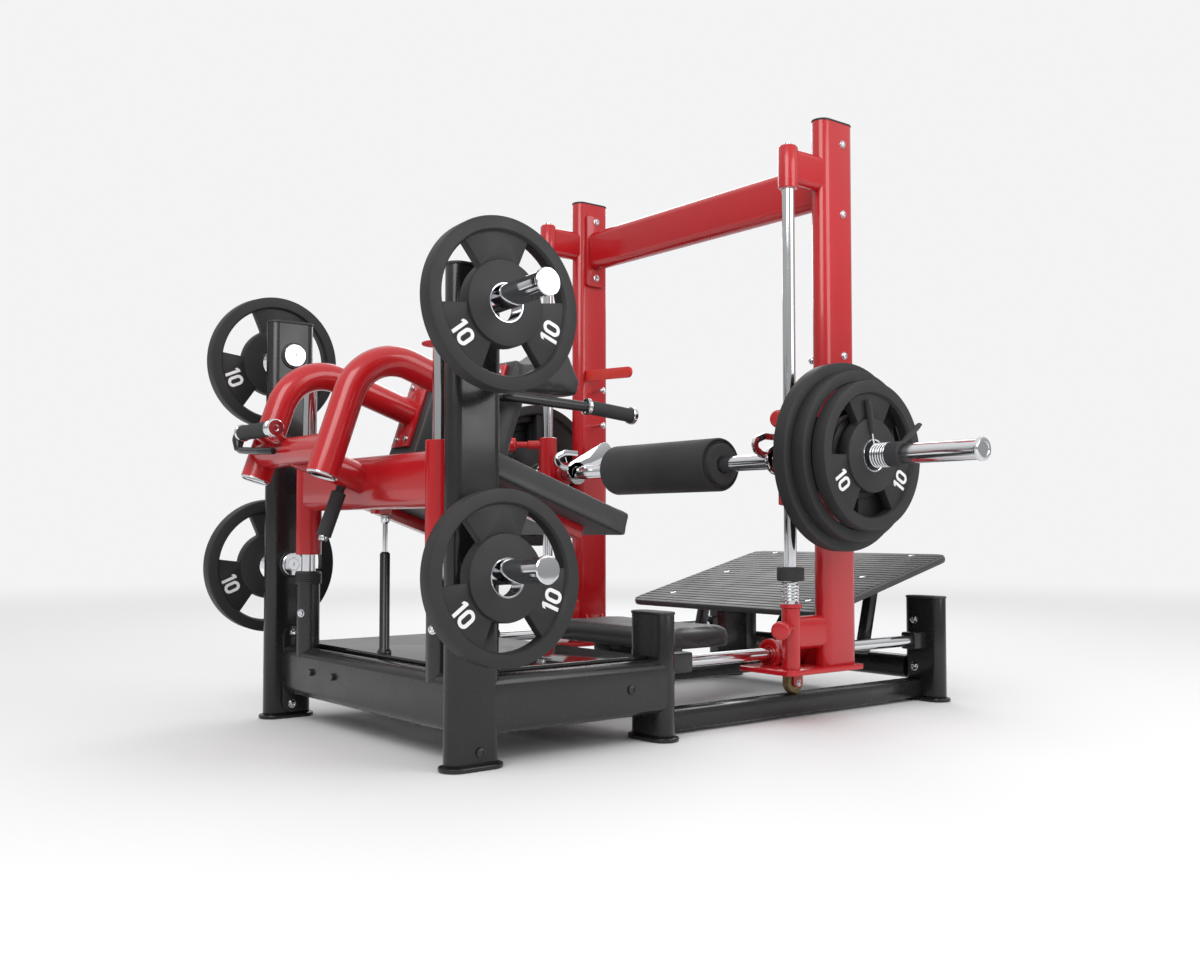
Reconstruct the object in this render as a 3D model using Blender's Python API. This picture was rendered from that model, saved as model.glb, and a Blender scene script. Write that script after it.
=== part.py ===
"""Hip-thrust smith machine: fixed base, sliding gantry with a guided bar, and a sliding back rest.

Metres, +Z up. The right side is +X. While it is drawn, y = 0 is the line of the two head posts; the
last step moves the whole assembly so that the middle of its floor outline is at the origin.
"""

import math

import bpy
import bmesh
from mathutils import Matrix, Vector

# Clearance between pieces that touch
GAP = 0.0003
# Clearance of a piece that slides on a rod
SLIDE_GAP = 0.0008

# Flat-oval frame tube
TUBE_LONG = 0.120
TUBE_SHORT = 0.050
FOOT_THICKNESS = 0.010
FOOT_MARGIN = 0.010

# Base frame
HEAD_POST_X = 0.431
HEAD_POST_TOP = 0.995
LOW_POST_X = 0.397
LOW_POST_TOP = 0.2825
MID_POST_Y = 0.506
REAR_POST_Y = 1.5135
BEAM_MIDDLE_Z = 0.123
RAIL_X = 0.395
RAIL_Z = 0.167
RAIL_RADIUS = 0.015
TRACK_X = 0.3685
TRACK_WIDTH = 0.055
TRACK_BASE = 0.0105
TRACK_TOP = 0.0575
DECK_TOP = 0.189
DECK_THICKNESS = 0.012
DECK_FRONT_GAP = 0.009
CLAMP_WALL = 0.008
CLAMP_CORNER = 0.006
HEAD_FLANGE_HEIGHT = 0.216
FLANGE_THICKNESS = 0.010

# Plate storage
PEG_RADIUS = 0.024
PEG_TIP_X = 0.690
PEG_TILT = math.radians(3.5)
PEG_HEIGHTS = {"upper": 0.912, "lower": 0.384}
STORED_PLATE_X = {"upper": 0.5325, "lower": 0.5395}

# Weight plates
PLATE_RADIUS = 0.171
PLATE_THICKNESS = 0.037
STORED_BORE = 0.036
BIG_PLATE_RADIUS = 0.220
BIG_PLATE_THICKNESS = 0.035
MIDDLE_PLATE_RADIUS = 0.197
MIDDLE_PLATE_THICKNESS = 0.0355
WINDOW_ANGLE = math.radians(50)

# Back rest
COLUMN_X = 0.310
COLUMN_RADIUS = 0.017
COLUMN_TOP = 0.853
COLUMN_BASE = 0.190
COLUMN_SLIDE_GAP = 0.0006
SOCKET_WALL = 0.011
SOCKET_TOP = 0.340
COLLAR_WALL = 0.015
COLLAR_TOP = 0.369
SLEEVE_RADIUS = 0.031
SLEEVE_BASE = 0.410
SLEEVE_TOP = 0.656
BACK_BEAM_Z = 0.576
PAD_BAR_HALF_WIDTH = 0.018
PAD_BAR_DEPTH = 0.042
ARM_X = 0.170
ARM_RADIUS = 0.033
ARM_LEAN = math.radians(19)
ARM_BEND = 0.115
ARM_FOOT = (-0.197, 0.585)
ARM_CORNER = (-0.101, 0.864)
ARM_LENGTH = 0.318
ARM_PLATE = (0.080, 0.180, 0.010)
TIE_RADIUS = 0.032
TIE_CENTRE = (-0.1766, 0.641)
STUB_RADIUS = 0.034
STUB_END_Z = 0.586
SHOULDER_PAD_WIDTH = 0.136
BACK_PAD_HALF_WIDTH = 0.400
BACK_PAD_LENGTH = 0.412
BACK_PAD_THICKNESS = 0.056
BACK_PAD_CENTRE = (0.2380, 0.5537)
BACK_PAD_SLOPE = math.radians(19.7)
HANDLE_X = 0.262
HANDLE_BEND_END = (0.418, 0.7565)
HANDLE_FALL = 0.097
HANDLE_COLLAR = (0.4185, 0.4290, 0.0195)
HANDLE_GRIP = (0.4295, 0.5520, 0.0165)
HANDLE_CAP = (0.5525, 0.5640, 0.0210)
GAS_Y = 0.042
GAS_BODY_RADIUS = 0.0115
GAS_ROD_RADIUS = 0.0055
GAS_BODY_TOP = 0.420
GAS_ROD_TOP = 0.5065

# Gantry
UPRIGHT_X = 0.4906
UPRIGHT_Y = 1.0198
UPRIGHT_BASE = 0.1393
UPRIGHT_TOP = 1.4885
ROD_Y = 0.8605
ROD_RADIUS = 0.015
ROD_TOP = 1.408
TOP_BEAM_Z = 1.3363
WHEEL_RADIUS = 0.0275
WHEEL_Y = 1.000
BUMPER_BASE = 0.3485
BUMPER_TOP = 0.3818
SPRING_BASE = 0.2943
SPRING_WIRE = 0.0025
SPRING_CLEARANCE = 0.0025
SPRING_TURNS = 6
ROD_SOCKET_WALL = 0.007
ROD_SOCKET_RIM = 0.0045
ROD_RING_WALL = 0.009
ROD_BRACKET_WALL = 0.003
BUMPER_WALL = 0.0175
SLIDER_WALL = 0.0125
SLIDER_BASE = 0.530
SLIDER_TOP = 0.748
BEARING_WALL = 0.017
BEARING_START = 0.885
BEARING_END = 1.050
GANTRY_PLATE_THICKNESS = 0.0123
GANTRY_PLATE_MARGIN = 0.012
KNOB_AZIMUTH = math.radians(-60)
KNOB_BARREL_RADIUS = 0.013
FOOT_KNOB_Z = 0.2386
FOOT_KNOB_START = 0.066
SLIDER_KNOB_Z = 0.727
SLIDER_KNOB_START = 0.062
PEG_LADDER = (0.8985, 0.7905, 0.6825)
PEG_LADDER_TIP = 0.4135

# Bar
BAR_Y = 0.905
BAR_Z = 0.640
BAR_RADIUS = 0.020
BAR_HALF_LENGTH = 0.996
BAR_SLEEVE_RADIUS = 0.023
SHOULDER_X = 0.565
ROLLER_RADIUS = 0.070
ROLLER_HALF_LENGTH = 0.220
HOOK_X = 0.405
HOOK_THICKNESS = 0.010
BIG_PLATE_INNER_X = 0.599
PLATE_GAP = 0.001
BIG_PLATE_TURN = math.radians(-30)

# Seat and foot plate
SEAT_HALF_WIDTH = 0.250
SEAT_FRONT = 0.670
SEAT_BACK = 0.930
SEAT_BASE = 0.172
SEAT_TOP = 0.224
FOOT_PLATE_HALF_WIDTH = 0.384
FOOT_PLATE_FRONT = (1.090, 0.260)
FOOT_PLATE_BACK = (1.650, 0.403)
FOOT_PLATE_THICKNESS = 0.020

ROUND = 16
PLATE_STEPS = 20
WINDOW_STEPS = 3
SIDES = {"left": -1, "right": 1}
AXIS_POINT = {
    "x": lambda w, a, b: (w, a, b),
    "y": lambda w, a, b: (a, w, b),
    "z": lambda w, a, b: (a, b, w),
}

# Colour, roughness, metallic
FINISHES = {
    "black_paint": ((0.012, 0.012, 0.014), 0.28, 0.0),
    "red_paint": ((0.42, 0.012, 0.018), 0.24, 0.0),
    "chrome": ((0.80, 0.81, 0.83), 0.10, 1.0),
    "pad": ((0.035, 0.035, 0.038), 0.55, 0.0),
    "foam": ((0.030, 0.030, 0.032), 0.70, 0.0),
    "rubber": ((0.018, 0.018, 0.020), 0.60, 0.0),
    "deck": ((0.010, 0.010, 0.012), 0.12, 0.0),
    "foot_plate": ((0.045, 0.045, 0.048), 0.45, 0.0),
    "tan": ((0.22, 0.16, 0.06), 0.50, 0.0),
}


def clear_scene():
    for existing in list(bpy.data.objects):
        bpy.data.objects.remove(existing, do_unlink=True)


def solid(points, faces):
    """A closed mesh with its faces turned outwards."""
    mesh = bpy.data.meshes.new("shape")
    mesh.from_pydata([tuple(point) for point in points], [], faces)
    work = bmesh.new()
    work.from_mesh(mesh)
    bmesh.ops.recalc_face_normals(work, faces=work.faces)
    if work.calc_volume(signed=True) < 0:
        bmesh.ops.reverse_faces(work, faces=work.faces)
    work.to_mesh(mesh)
    work.free()
    return mesh


def loft(rings):
    """A closed solid through rings of equal point count, capped at both ends."""
    count = len(rings[0])
    points = [point for ring in rings for point in ring]
    faces = [tuple(range(count)), tuple(range(len(points) - count, len(points)))]
    for level in range(len(rings) - 1):
        for i in range(count):
            j = (i + 1) % count
            low = level * count
            faces.append((low + i, low + j, low + count + j, low + count + i))
    return solid(points, faces)


def prism(outline, axis, start, end):
    """An outline in the other two axes, carried straight along one axis."""
    place = AXIS_POINT[axis]
    return loft([[place(along, a, b) for a, b in outline] for along in (start, end)])


def box(low, high):
    outline = [(low[0], low[1]), (high[0], low[1]), (high[0], high[1]), (low[0], high[1])]
    return prism(outline, "z", low[2], high[2])


def oval(centre, width, height, steps=3):
    """Flat-sided oval: half circles on the two ends of its longer side."""
    radius = min(width, height) / 2
    reach_a = width / 2 - radius
    reach_b = height / 2 - radius
    outline = []
    for quarter, (sign_a, sign_b) in enumerate(((1, 1), (-1, 1), (-1, -1), (1, -1))):
        for step in range(steps + 1):
            angle = (quarter + step / steps) * math.pi / 2
            a = centre[0] + sign_a * reach_a + radius * math.cos(angle)
            b = centre[1] + sign_b * reach_b + radius * math.sin(angle)
            if not outline or math.dist(outline[-1], (a, b)) > 1e-6:
                outline.append((a, b))
    if math.dist(outline[0], outline[-1]) < 1e-6:
        outline.pop()
    return outline


def rounded_rectangle(half_a, half_b, corner, steps=4):
    outline = []
    for quarter, (sign_a, sign_b) in enumerate(((1, 1), (-1, 1), (-1, -1), (1, -1))):
        for step in range(steps + 1):
            angle = (quarter + step / steps) * math.pi / 2
            outline.append(
                (
                    sign_a * (half_a - corner) + corner * math.cos(angle),
                    sign_b * (half_b - corner) + corner * math.sin(angle),
                )
            )
    return outline


def lathe(profile, axis, centre, steps=ROUND):
    """Turns (radius, along) points about an axis; a profile that never reaches radius 0 is a bored ring."""
    place = AXIS_POINT[axis]
    points = []
    rings = []
    for radius, along in profile:
        first = len(points)
        if radius < 1e-9:
            points.append(place(along, centre[0], centre[1]))
            rings.append([first] * steps)
            continue
        for step in range(steps):
            angle = 2 * math.pi * (step + 0.5) / steps
            a = centre[0] + radius * math.cos(angle)
            b = centre[1] + radius * math.sin(angle)
            points.append(place(along, a, b))
        rings.append([first + step for step in range(steps)])
    pairs = list(zip(rings, rings[1:]))
    if profile[0][0] > 1e-9:
        pairs.append((rings[-1], rings[0]))
    faces = []
    for low, high in pairs:
        for step in range(steps):
            after = (step + 1) % steps
            corners = [low[step], low[after], high[after], high[step]]
            unique = list(dict.fromkeys(corners))
            if len(unique) > 2:
                faces.append(tuple(unique))
    return solid(points, faces)


def rod(radius, axis, centre, start, end, steps=ROUND):
    return lathe([(0, start), (radius, start), (radius, end), (0, end)], axis, centre, steps)


def ring(bore, radius, axis, centre, start, end, steps=ROUND):
    profile = [(bore, start), (radius, start), (radius, end), (bore, end)]
    return lathe(profile, axis, centre, steps)


def bent(corners, radius, steps=6):
    """A path of straight runs whose inner corners are rounded to a bend radius."""
    path = [Vector(corners[0])]
    for before, corner, after in zip(corners, corners[1:], corners[2:]):
        corner = Vector(corner)
        into = (corner - Vector(before)).normalized()
        out = (Vector(after) - corner).normalized()
        turn = into.angle(out)
        if turn < 1e-4:
            continue
        start = corner - into * radius * math.tan(turn / 2)
        normal = (out - into * out.dot(into)).normalized()
        centre = start + normal * radius
        for step in range(steps + 1):
            angle = turn * step / steps
            path.append(centre - normal * radius * math.cos(angle) + into * radius * math.sin(angle))
    path.append(Vector(corners[-1]))
    return path


def sweep(path, radii, sides=12):
    """A round tube along a path, with one radius or one for each point."""
    path = [Vector(point) for point in path]
    if not isinstance(radii, (list, tuple)):
        radii = [radii] * len(path)
    across = None
    rings = []
    for index, (point, radius) in enumerate(zip(path, radii)):
        ahead = path[min(index + 1, len(path) - 1)]
        behind = path[max(index - 1, 0)]
        along = (ahead - behind).normalized()
        if across is None:
            across = along.orthogonal().normalized()
        across = (across - along * across.dot(along)).normalized()
        other = along.cross(across)
        circle = []
        for side in range(sides):
            angle = 2 * math.pi * side / sides
            circle.append(point + across * radius * math.cos(angle) + other * radius * math.sin(angle))
        rings.append(circle)
    return loft(rings)


def stroke(points, half_width, axis, start, end, steps=6):
    """A flat bar of even width along a broken line, with round ends, as separate overlapping runs."""
    runs = []
    for (a0, b0), (a1, b1) in zip(points, points[1:]):
        heading = math.atan2(b1 - b0, a1 - a0)
        outline = []
        for a, b, turn in ((a1, b1, -math.pi / 2), (a0, b0, math.pi / 2)):
            for step in range(steps + 1):
                angle = heading + turn + math.pi * step / steps
                outline.append((a + half_width * math.cos(angle), b + half_width * math.sin(angle)))
        runs.append(prism(outline, axis, start, end))
    return runs


def combined(operation, first, others):
    """The exact Boolean of a mesh with others, as a new mesh."""
    objects = []
    for mesh in (first, *others):
        piece = bpy.data.objects.new("work", mesh)
        bpy.context.scene.collection.objects.link(piece)
        objects.append(piece)
    body = objects[0]
    for tool in objects[1:]:
        step = body.modifiers.new("Boolean", "BOOLEAN")
        step.operation = operation
        step.solver = "EXACT"
        step.object = tool
    graph = bpy.context.evaluated_depsgraph_get()
    result = bpy.data.meshes.new_from_object(body.evaluated_get(graph))
    for piece in objects:
        bpy.data.objects.remove(piece, do_unlink=True)
    return result


def fused(*meshes):
    return combined("UNION", meshes[0], meshes[1:])


def cut(mesh, *tools):
    return combined("DIFFERENCE", mesh, tools)


def turned(mesh, angle, axis, centre):
    centre = Vector(centre)
    spin = Matrix.Rotation(angle, 4, axis.upper())
    mesh.transform(Matrix.Translation(centre) @ spin @ Matrix.Translation(-centre))
    return mesh


def moved(mesh, offset):
    mesh.transform(Matrix.Translation(Vector(offset)))
    return mesh


def finish_material(name, finish):
    colour, roughness, metallic = FINISHES[finish]
    material = bpy.data.materials.new(name)
    material.use_nodes = True
    shader = material.node_tree.nodes["Principled BSDF"]
    shader.inputs["Base Color"].default_value = (*colour, 1.0)
    shader.inputs["Roughness"].default_value = roughness
    shader.inputs["Metallic"].default_value = metallic
    return material


def add_part(name, mesh, finish, origin=(0, 0, 0)):
    """Makes a node of a mesh, with its origin at a point such as one on its joint's axis."""
    mesh = mesh.copy()
    mesh.name = name
    mesh.transform(Matrix.Translation(-Vector(origin)))
    mesh.materials.clear()
    mesh.materials.append(finish_material(name, finish))
    mesh.polygons.foreach_set("use_smooth", [True] * len(mesh.polygons))
    mesh.polygons.foreach_set("material_index", [0] * len(mesh.polygons))
    mesh.set_sharp_from_angle(angle=math.radians(35))
    node = bpy.data.objects.new(name, mesh)
    node.location = origin
    bpy.context.scene.collection.objects.link(node)
    return node


def foot(x, y, width, depth):
    outline = oval((x, y), width + 2 * FOOT_MARGIN, depth + 2 * FOOT_MARGIN)
    return prism(outline, "z", 0, FOOT_THICKNESS)


def low_post(x, y):
    """A short oval post, long across the machine, on its foot flange."""
    post = prism(oval((x, y), TUBE_LONG, TUBE_SHORT), "z", 0.002, LOW_POST_TOP)
    return [post, foot(x, y, TUBE_LONG, TUBE_SHORT)]


def rail_clamp(side, start, end):
    half = RAIL_RADIUS + CLAMP_WALL
    block = rounded_rectangle(half, half, CLAMP_CORNER, 2)
    outline = [(side * RAIL_X + a, RAIL_Z + b) for a, b in block]
    return prism(outline, "y", start, end)


def rail_bore(side, start, end):
    return rod(RAIL_RADIUS + GAP, "y", (side * RAIL_X, RAIL_Z), start, end)


def side_frame(side):
    """Head post, side beam and middle post, welded, with the front rail clamp and a ledge for the deck."""
    x = side * HEAD_POST_X
    head_post = prism(oval((x, 0), TUBE_SHORT, TUBE_LONG), "z", 0.002, HEAD_POST_TOP)
    head_foot = foot(x, 0, TUBE_SHORT, TUBE_LONG)
    beam_outline = oval((x, BEAM_MIDDLE_Z), TUBE_SHORT - 0.001, TUBE_LONG)
    beam = prism(beam_outline, "y", 0.020, MID_POST_Y)
    ledge_inner = HEAD_POST_X - TUBE_SHORT / 2 - 0.016
    ledge_outer = HEAD_POST_X - 0.010
    low = (min(side * ledge_inner, side * ledge_outer), 0.075, DECK_TOP - DECK_THICKNESS - 0.006)
    high = (max(side * ledge_inner, side * ledge_outer), 0.470, DECK_TOP - DECK_THICKNESS - GAP)
    face = MID_POST_Y + TUBE_SHORT / 2
    body = fused(
        head_post,
        head_foot,
        beam,
        box(low, high),
        *low_post(side * LOW_POST_X, MID_POST_Y),
        rail_clamp(side, face - 0.010, face + 0.078),
    )
    return cut(body, rail_bore(side, face, face + 0.090))


def track_frame(side):
    """Rear post with the wheel track and the rear rail clamp."""
    face = REAR_POST_Y - TUBE_SHORT / 2
    half = TRACK_WIDTH / 2
    track_front = MID_POST_Y + TUBE_SHORT / 2 + GAP
    track = box(
        (side * TRACK_X - half, track_front, TRACK_BASE), (side * TRACK_X + half, REAR_POST_Y, TRACK_TOP)
    )
    body = fused(
        *low_post(side * LOW_POST_X, REAR_POST_Y), track, rail_clamp(side, face - 0.0535, face + 0.010)
    )
    return cut(body, rail_bore(side, face - 0.060, face))


def head_beam():
    """Cross beam with bolted end flanges and the two sockets of the chrome columns."""
    reach = HEAD_POST_X - TUBE_SHORT / 2 - GAP
    pieces = [prism(oval((0, BEAM_MIDDLE_Z), TUBE_SHORT, TUBE_LONG), "x", -reach + 0.005, reach - 0.005)]
    socket = [
        (0, BEAM_MIDDLE_Z + 0.027),
        (COLUMN_RADIUS + SOCKET_WALL, BEAM_MIDDLE_Z + 0.027),
        (COLUMN_RADIUS + SOCKET_WALL, SOCKET_TOP),
        (COLUMN_RADIUS + COLLAR_WALL, SOCKET_TOP + 0.002),
        (COLUMN_RADIUS + COLLAR_WALL, COLLAR_TOP),
        (0, COLLAR_TOP),
    ]
    bores = []
    for side in SIDES.values():
        ends = sorted((side * reach, side * (reach - FLANGE_THICKNESS)))
        pieces.append(prism(oval((0, BEAM_MIDDLE_Z), TUBE_SHORT - 0.001, HEAD_FLANGE_HEIGHT), "x", *ends))
        pieces.append(lathe(socket, "z", (side * COLUMN_X, 0), 20))
        bores.append(rod(COLUMN_RADIUS + GAP, "z", (side * COLUMN_X, 0), COLUMN_BASE, COLLAR_TOP + 0.03))
    return cut(fused(*pieces), *bores)


def foot_plate_height(y, below=0.0):
    (y0, z0), (y1, z1) = FOOT_PLATE_FRONT, FOOT_PLATE_BACK
    return z0 + (y - y0) * (z1 - z0) / (y1 - y0) - FOOT_PLATE_THICKNESS * 1.04 - below


def centre_frame():
    """Middle cross beam, spine, rear cross beam, seat pedestal and the stand of the foot plate."""
    reach = LOW_POST_X - TUBE_LONG / 2 - GAP
    mid_beam = prism(oval((MID_POST_Y, BEAM_MIDDLE_Z - 0.010), TUBE_SHORT, 0.100), "x", -reach, reach)
    rear_beam = prism(oval((REAR_POST_Y, 0.0875), TUBE_SHORT, 0.065), "x", -reach, reach)
    spine = box((-0.040, MID_POST_Y, 0.066), (0.040, REAR_POST_Y, 0.110))
    pedestal = box((-0.090, SEAT_FRONT + 0.050, 0.100), (0.090, SEAT_BACK - 0.050, SEAT_BASE - GAP))
    pieces = [mid_beam, rear_beam, spine, pedestal]
    front_y, tie_y, rear_y = 1.170, 1.330, 1.560
    under = GAP
    front_post = [
        (front_y - 0.020, 0.090),
        (front_y + 0.020, 0.090),
        (front_y + 0.020, foot_plate_height(front_y + 0.020, under)),
        (front_y - 0.020, foot_plate_height(front_y - 0.020, under)),
    ]
    pieces.append(prism(front_post, "x", -0.060, 0.060))
    pieces.append(rod(0.018, "x", (tie_y, 0.150), -0.337, 0.337))
    pieces.append(box((-0.030, tie_y - 0.025, 0.100), (0.030, tie_y + 0.025, 0.155)))
    strut = [
        (tie_y - 0.014, 0.150),
        (tie_y + 0.014, 0.150),
        (tie_y + 0.056, foot_plate_height(tie_y + 0.056, under)),
        (tie_y + 0.026, foot_plate_height(tie_y + 0.026, under)),
    ]
    brace = [
        (rear_y - 0.260, 0.100),
        (rear_y - 0.220, 0.100),
        (rear_y - 0.040, foot_plate_height(rear_y - 0.040, under)),
        (rear_y - 0.075, foot_plate_height(rear_y - 0.075, under)),
    ]
    for side in SIDES.values():
        pieces.append(prism(strut, "x", *sorted((side * 0.337, side * 0.309))))
        pieces.append(prism(brace, "x", *sorted((side * 0.038, side * 0.014))))
    return fused(*pieces)


def rail_rod(side):
    start = MID_POST_Y + TUBE_SHORT / 2 + GAP
    end = REAR_POST_Y - TUBE_SHORT / 2 - GAP
    return rod(RAIL_RADIUS, "y", (side * RAIL_X, RAIL_Z), start, end)


def deck_panel():
    half = HEAD_POST_X - TUBE_SHORT / 2 - GAP
    back = MID_POST_Y - TUBE_SHORT / 2 - GAP
    front = TUBE_SHORT / 2 + DECK_FRONT_GAP
    return box((-half, front, DECK_TOP - DECK_THICKNESS), (half, back, DECK_TOP))


def cushion(half_a, half_b, corner, thickness, crown=0.006):
    """Upholstered slab about the origin: drawn-in sides, soft edges and a crowned top."""
    half = thickness / 2
    levels = (
        (-half, 0.006),
        (-half + 0.006, 0.001),
        (-half * 0.2, 0.0015),
        (half - 0.014 - crown, 0.0),
        (half - 0.005 - crown, 0.005),
        (half - crown, 0.016),
        (half - crown * 0.3, 0.055),
        (half, 0.100),
    )
    rings = []
    for height, inset in levels:
        inset = min(inset, 0.8 * min(half_a, half_b))
        outline = rounded_rectangle(half_a - inset, half_b - inset, max(corner - inset, 0.010))
        rings.append([(a, b, height) for a, b in outline])
    return loft(rings)


def seat_pad():
    half_y = (SEAT_BACK - SEAT_FRONT) / 2
    pad = cushion(SEAT_HALF_WIDTH, half_y, 0.050, SEAT_TOP - SEAT_BASE)
    return moved(pad, (0, SEAT_FRONT + half_y, (SEAT_TOP + SEAT_BASE) / 2))


def back_pad():
    pad = cushion(BACK_PAD_HALF_WIDTH, BACK_PAD_LENGTH / 2, 0.030, BACK_PAD_THICKNESS)
    turned(pad, -BACK_PAD_SLOPE, "x", (0, 0, 0))
    return moved(pad, (0, *BACK_PAD_CENTRE))


def foot_plate():
    (y0, z0), (y1, z1) = FOOT_PLATE_FRONT, FOOT_PLATE_BACK
    slope = math.atan2(z1 - z0, y1 - y0)
    outline = rounded_rectangle(FOOT_PLATE_HALF_WIDTH, math.hypot(y1 - y0, z1 - z0) / 2, 0.044, 5)
    plate = prism(outline, "z", -FOOT_PLATE_THICKNESS, 0)
    turned(plate, slope, "x", (0, 0, 0))
    return moved(plate, (0, (y0 + y1) / 2, (z0 + z1) / 2))


def peg_root(side):
    return side * (HEAD_POST_X + TUBE_SHORT / 2)


def storage_peg(side, height):
    start = HEAD_POST_X + TUBE_SHORT / 2 + 0.0020
    profile = [
        (0, start),
        (PEG_RADIUS, start),
        (PEG_RADIUS, PEG_TIP_X - 0.010),
        (PEG_RADIUS + 0.003, PEG_TIP_X - 0.009),
        (PEG_RADIUS + 0.003, PEG_TIP_X),
        (0, PEG_TIP_X),
    ]
    mesh = lathe([(radius, side * along) for radius, along in profile], "x", (0, height))
    return turned(mesh, -side * PEG_TILT, "y", (peg_root(side), 0, height))


def plate_face(radius, bore, face, inward):
    """Half profile of a grip plate's face, from the bore out: hub, sunk web and rim."""
    rim = radius - 0.028
    hub = radius * 0.50
    web = face + inward * 0.008
    return [(bore, face), (hub, face), (hub + 0.004, web), (rim - 0.004, web), (rim, face), (radius, face)]


def grip_windows(radius, start, end):
    """Three cutters for a grip plate's windows, along X."""
    windows = []
    for middle in (30, 150, 270):
        outline = []
        for reach, order in ((radius - 0.034, 1), (radius * 0.50 + 0.006, -1)):
            for step in range(WINDOW_STEPS + 1):
                angle = math.radians(middle) + order * WINDOW_ANGLE * (step / WINDOW_STEPS - 0.5)
                outline.append((reach * math.cos(angle), reach * math.sin(angle)))
        windows.append(prism(outline, "x", start, end))
    return windows


def weight_plate(radius, thickness, bore):
    """Grip plate about the origin, axis along X: rim, three spokes, three windows and a hub."""
    half = thickness / 2
    profile = plate_face(radius, bore, -half, 1)
    profile.extend(reversed(plate_face(radius, bore, half, -1)))
    plate = lathe(profile, "x", (0, 0), PLATE_STEPS)
    return cut(plate, *grip_windows(radius, -thickness, thickness))


def plate_pair(side, bore):
    """Big plate with the middle plate flat against it, from the big plate's inner face outward."""
    step = side * BIG_PLATE_THICKNESS
    end = side * (BIG_PLATE_THICKNESS + MIDDLE_PLATE_THICKNESS)
    profile = plate_face(BIG_PLATE_RADIUS, bore, 0, side)
    profile.extend([(BIG_PLATE_RADIUS, step), (MIDDLE_PLATE_RADIUS, step)])
    profile.extend(reversed(plate_face(MIDDLE_PLATE_RADIUS, bore, end, -side)))
    pair = lathe(profile, "x", (0, 0), PLATE_STEPS)
    pair = cut(pair, *grip_windows(MIDDLE_PLATE_RADIUS, *sorted((-step, end + step))))
    return turned(pair, BIG_PLATE_TURN, "x", (0, 0, 0))


def column(side):
    profile = [
        (0, COLUMN_BASE + GAP),
        (COLUMN_RADIUS, COLUMN_BASE + GAP),
        (COLUMN_RADIUS, COLUMN_TOP - 0.004),
        (COLUMN_RADIUS - 0.003, COLUMN_TOP),
        (0, COLUMN_TOP),
    ]
    return lathe(profile, "z", (side * COLUMN_X, 0))


def gas_cylinder():
    profile = [
        (0, DECK_TOP + GAP),
        (0.016, DECK_TOP + GAP),
        (0.016, DECK_TOP + 0.008),
        (GAS_BODY_RADIUS, DECK_TOP + 0.012),
        (GAS_BODY_RADIUS, GAS_BODY_TOP),
        (GAS_ROD_RADIUS + 0.0007, GAS_BODY_TOP),
        (GAS_ROD_RADIUS + 0.0007, 0.236),
        (0, 0.236),
    ]
    return lathe(profile, "z", (0, GAS_Y), 14)


def gas_rod():
    profile = [
        (0, 0.262),
        (GAS_ROD_RADIUS, 0.262),
        (GAS_ROD_RADIUS, GAS_ROD_TOP - 0.0195),
        (0.0100, GAS_ROD_TOP - 0.0155),
        (0.0100, GAS_ROD_TOP - 0.0035),
        (0.0070, GAS_ROD_TOP),
        (0, GAS_ROD_TOP),
    ]
    return lathe(profile, "z", (0, GAS_Y), 14)


def pad_underside(y, below):
    """Height of a line parallel to the back pad's underside."""
    y0, z0 = BACK_PAD_CENTRE
    drop = BACK_PAD_THICKNESS / 2 + below
    foot_y = y0 - drop * math.sin(BACK_PAD_SLOPE)
    foot_z = z0 - drop * math.cos(BACK_PAD_SLOPE)
    return foot_z - (y - foot_y) * math.tan(BACK_PAD_SLOPE)


def sleeve(side):
    """Sliding sleeve of the back rest with the bar that carries the back pad."""
    x = side * COLUMN_X
    tube = rod(SLEEVE_RADIUS, "z", (x, 0), SLEEVE_BASE, SLEEVE_TOP)
    outline = [
        (0.0, pad_underside(0.0, GAP)),
        (0.377, pad_underside(0.377, GAP)),
        (0.365, pad_underside(0.365, PAD_BAR_DEPTH)),
        (0.0, pad_underside(0.0, PAD_BAR_DEPTH)),
    ]
    bar = prism(outline, "x", x - PAD_BAR_HALF_WIDTH, x + PAD_BAR_HALF_WIDTH)
    bore = rod(COLUMN_RADIUS + COLUMN_SLIDE_GAP, "z", (x, 0), SLEEVE_BASE - 0.02, SLEEVE_TOP + 0.02)
    return cut(fused(tube, bar), bore)


def back_beam():
    beam = prism(oval((0, BACK_BEAM_Z), TUBE_SHORT, TUBE_LONG), "x", -COLUMN_X, COLUMN_X)
    lug = box((-0.012, 0.010, GAS_ROD_TOP + GAP), (0.012, GAS_Y + 0.012, 0.545))
    copes = []
    for side in SIDES.values():
        copes.append(rod(SLEEVE_RADIUS + GAP, "z", (side * COLUMN_X, 0), SLEEVE_BASE, SLEEVE_TOP + 0.02))
        edges = sorted((side * (COLUMN_X - PAD_BAR_HALF_WIDTH - GAP), side * (COLUMN_X + 0.05)))
        copes.append(box((edges[0], 0.002, SLEEVE_BASE - 0.01), (edges[1], 0.1, SLEEVE_TOP + 0.01)))
    cleared = box((COLUMN_X, -0.1, 0.4), (COLUMN_X + 0.05, 0.1, 0.7))
    mirrored = box((-COLUMN_X - 0.05, -0.1, 0.4), (-COLUMN_X, 0.1, 0.7))
    return cut(fused(beam, lug), *copes, cleared, mirrored)


def arm_end():
    """Where the arm meets its end plate, with the directions along the arm and up the plate."""
    along = (math.cos(ARM_LEAN), -math.sin(ARM_LEAN))
    up = (math.sin(ARM_LEAN), math.cos(ARM_LEAN))
    end = (ARM_CORNER[0] + ARM_LENGTH * along[0], ARM_CORNER[1] + ARM_LENGTH * along[1])
    return end, along, up


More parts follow.
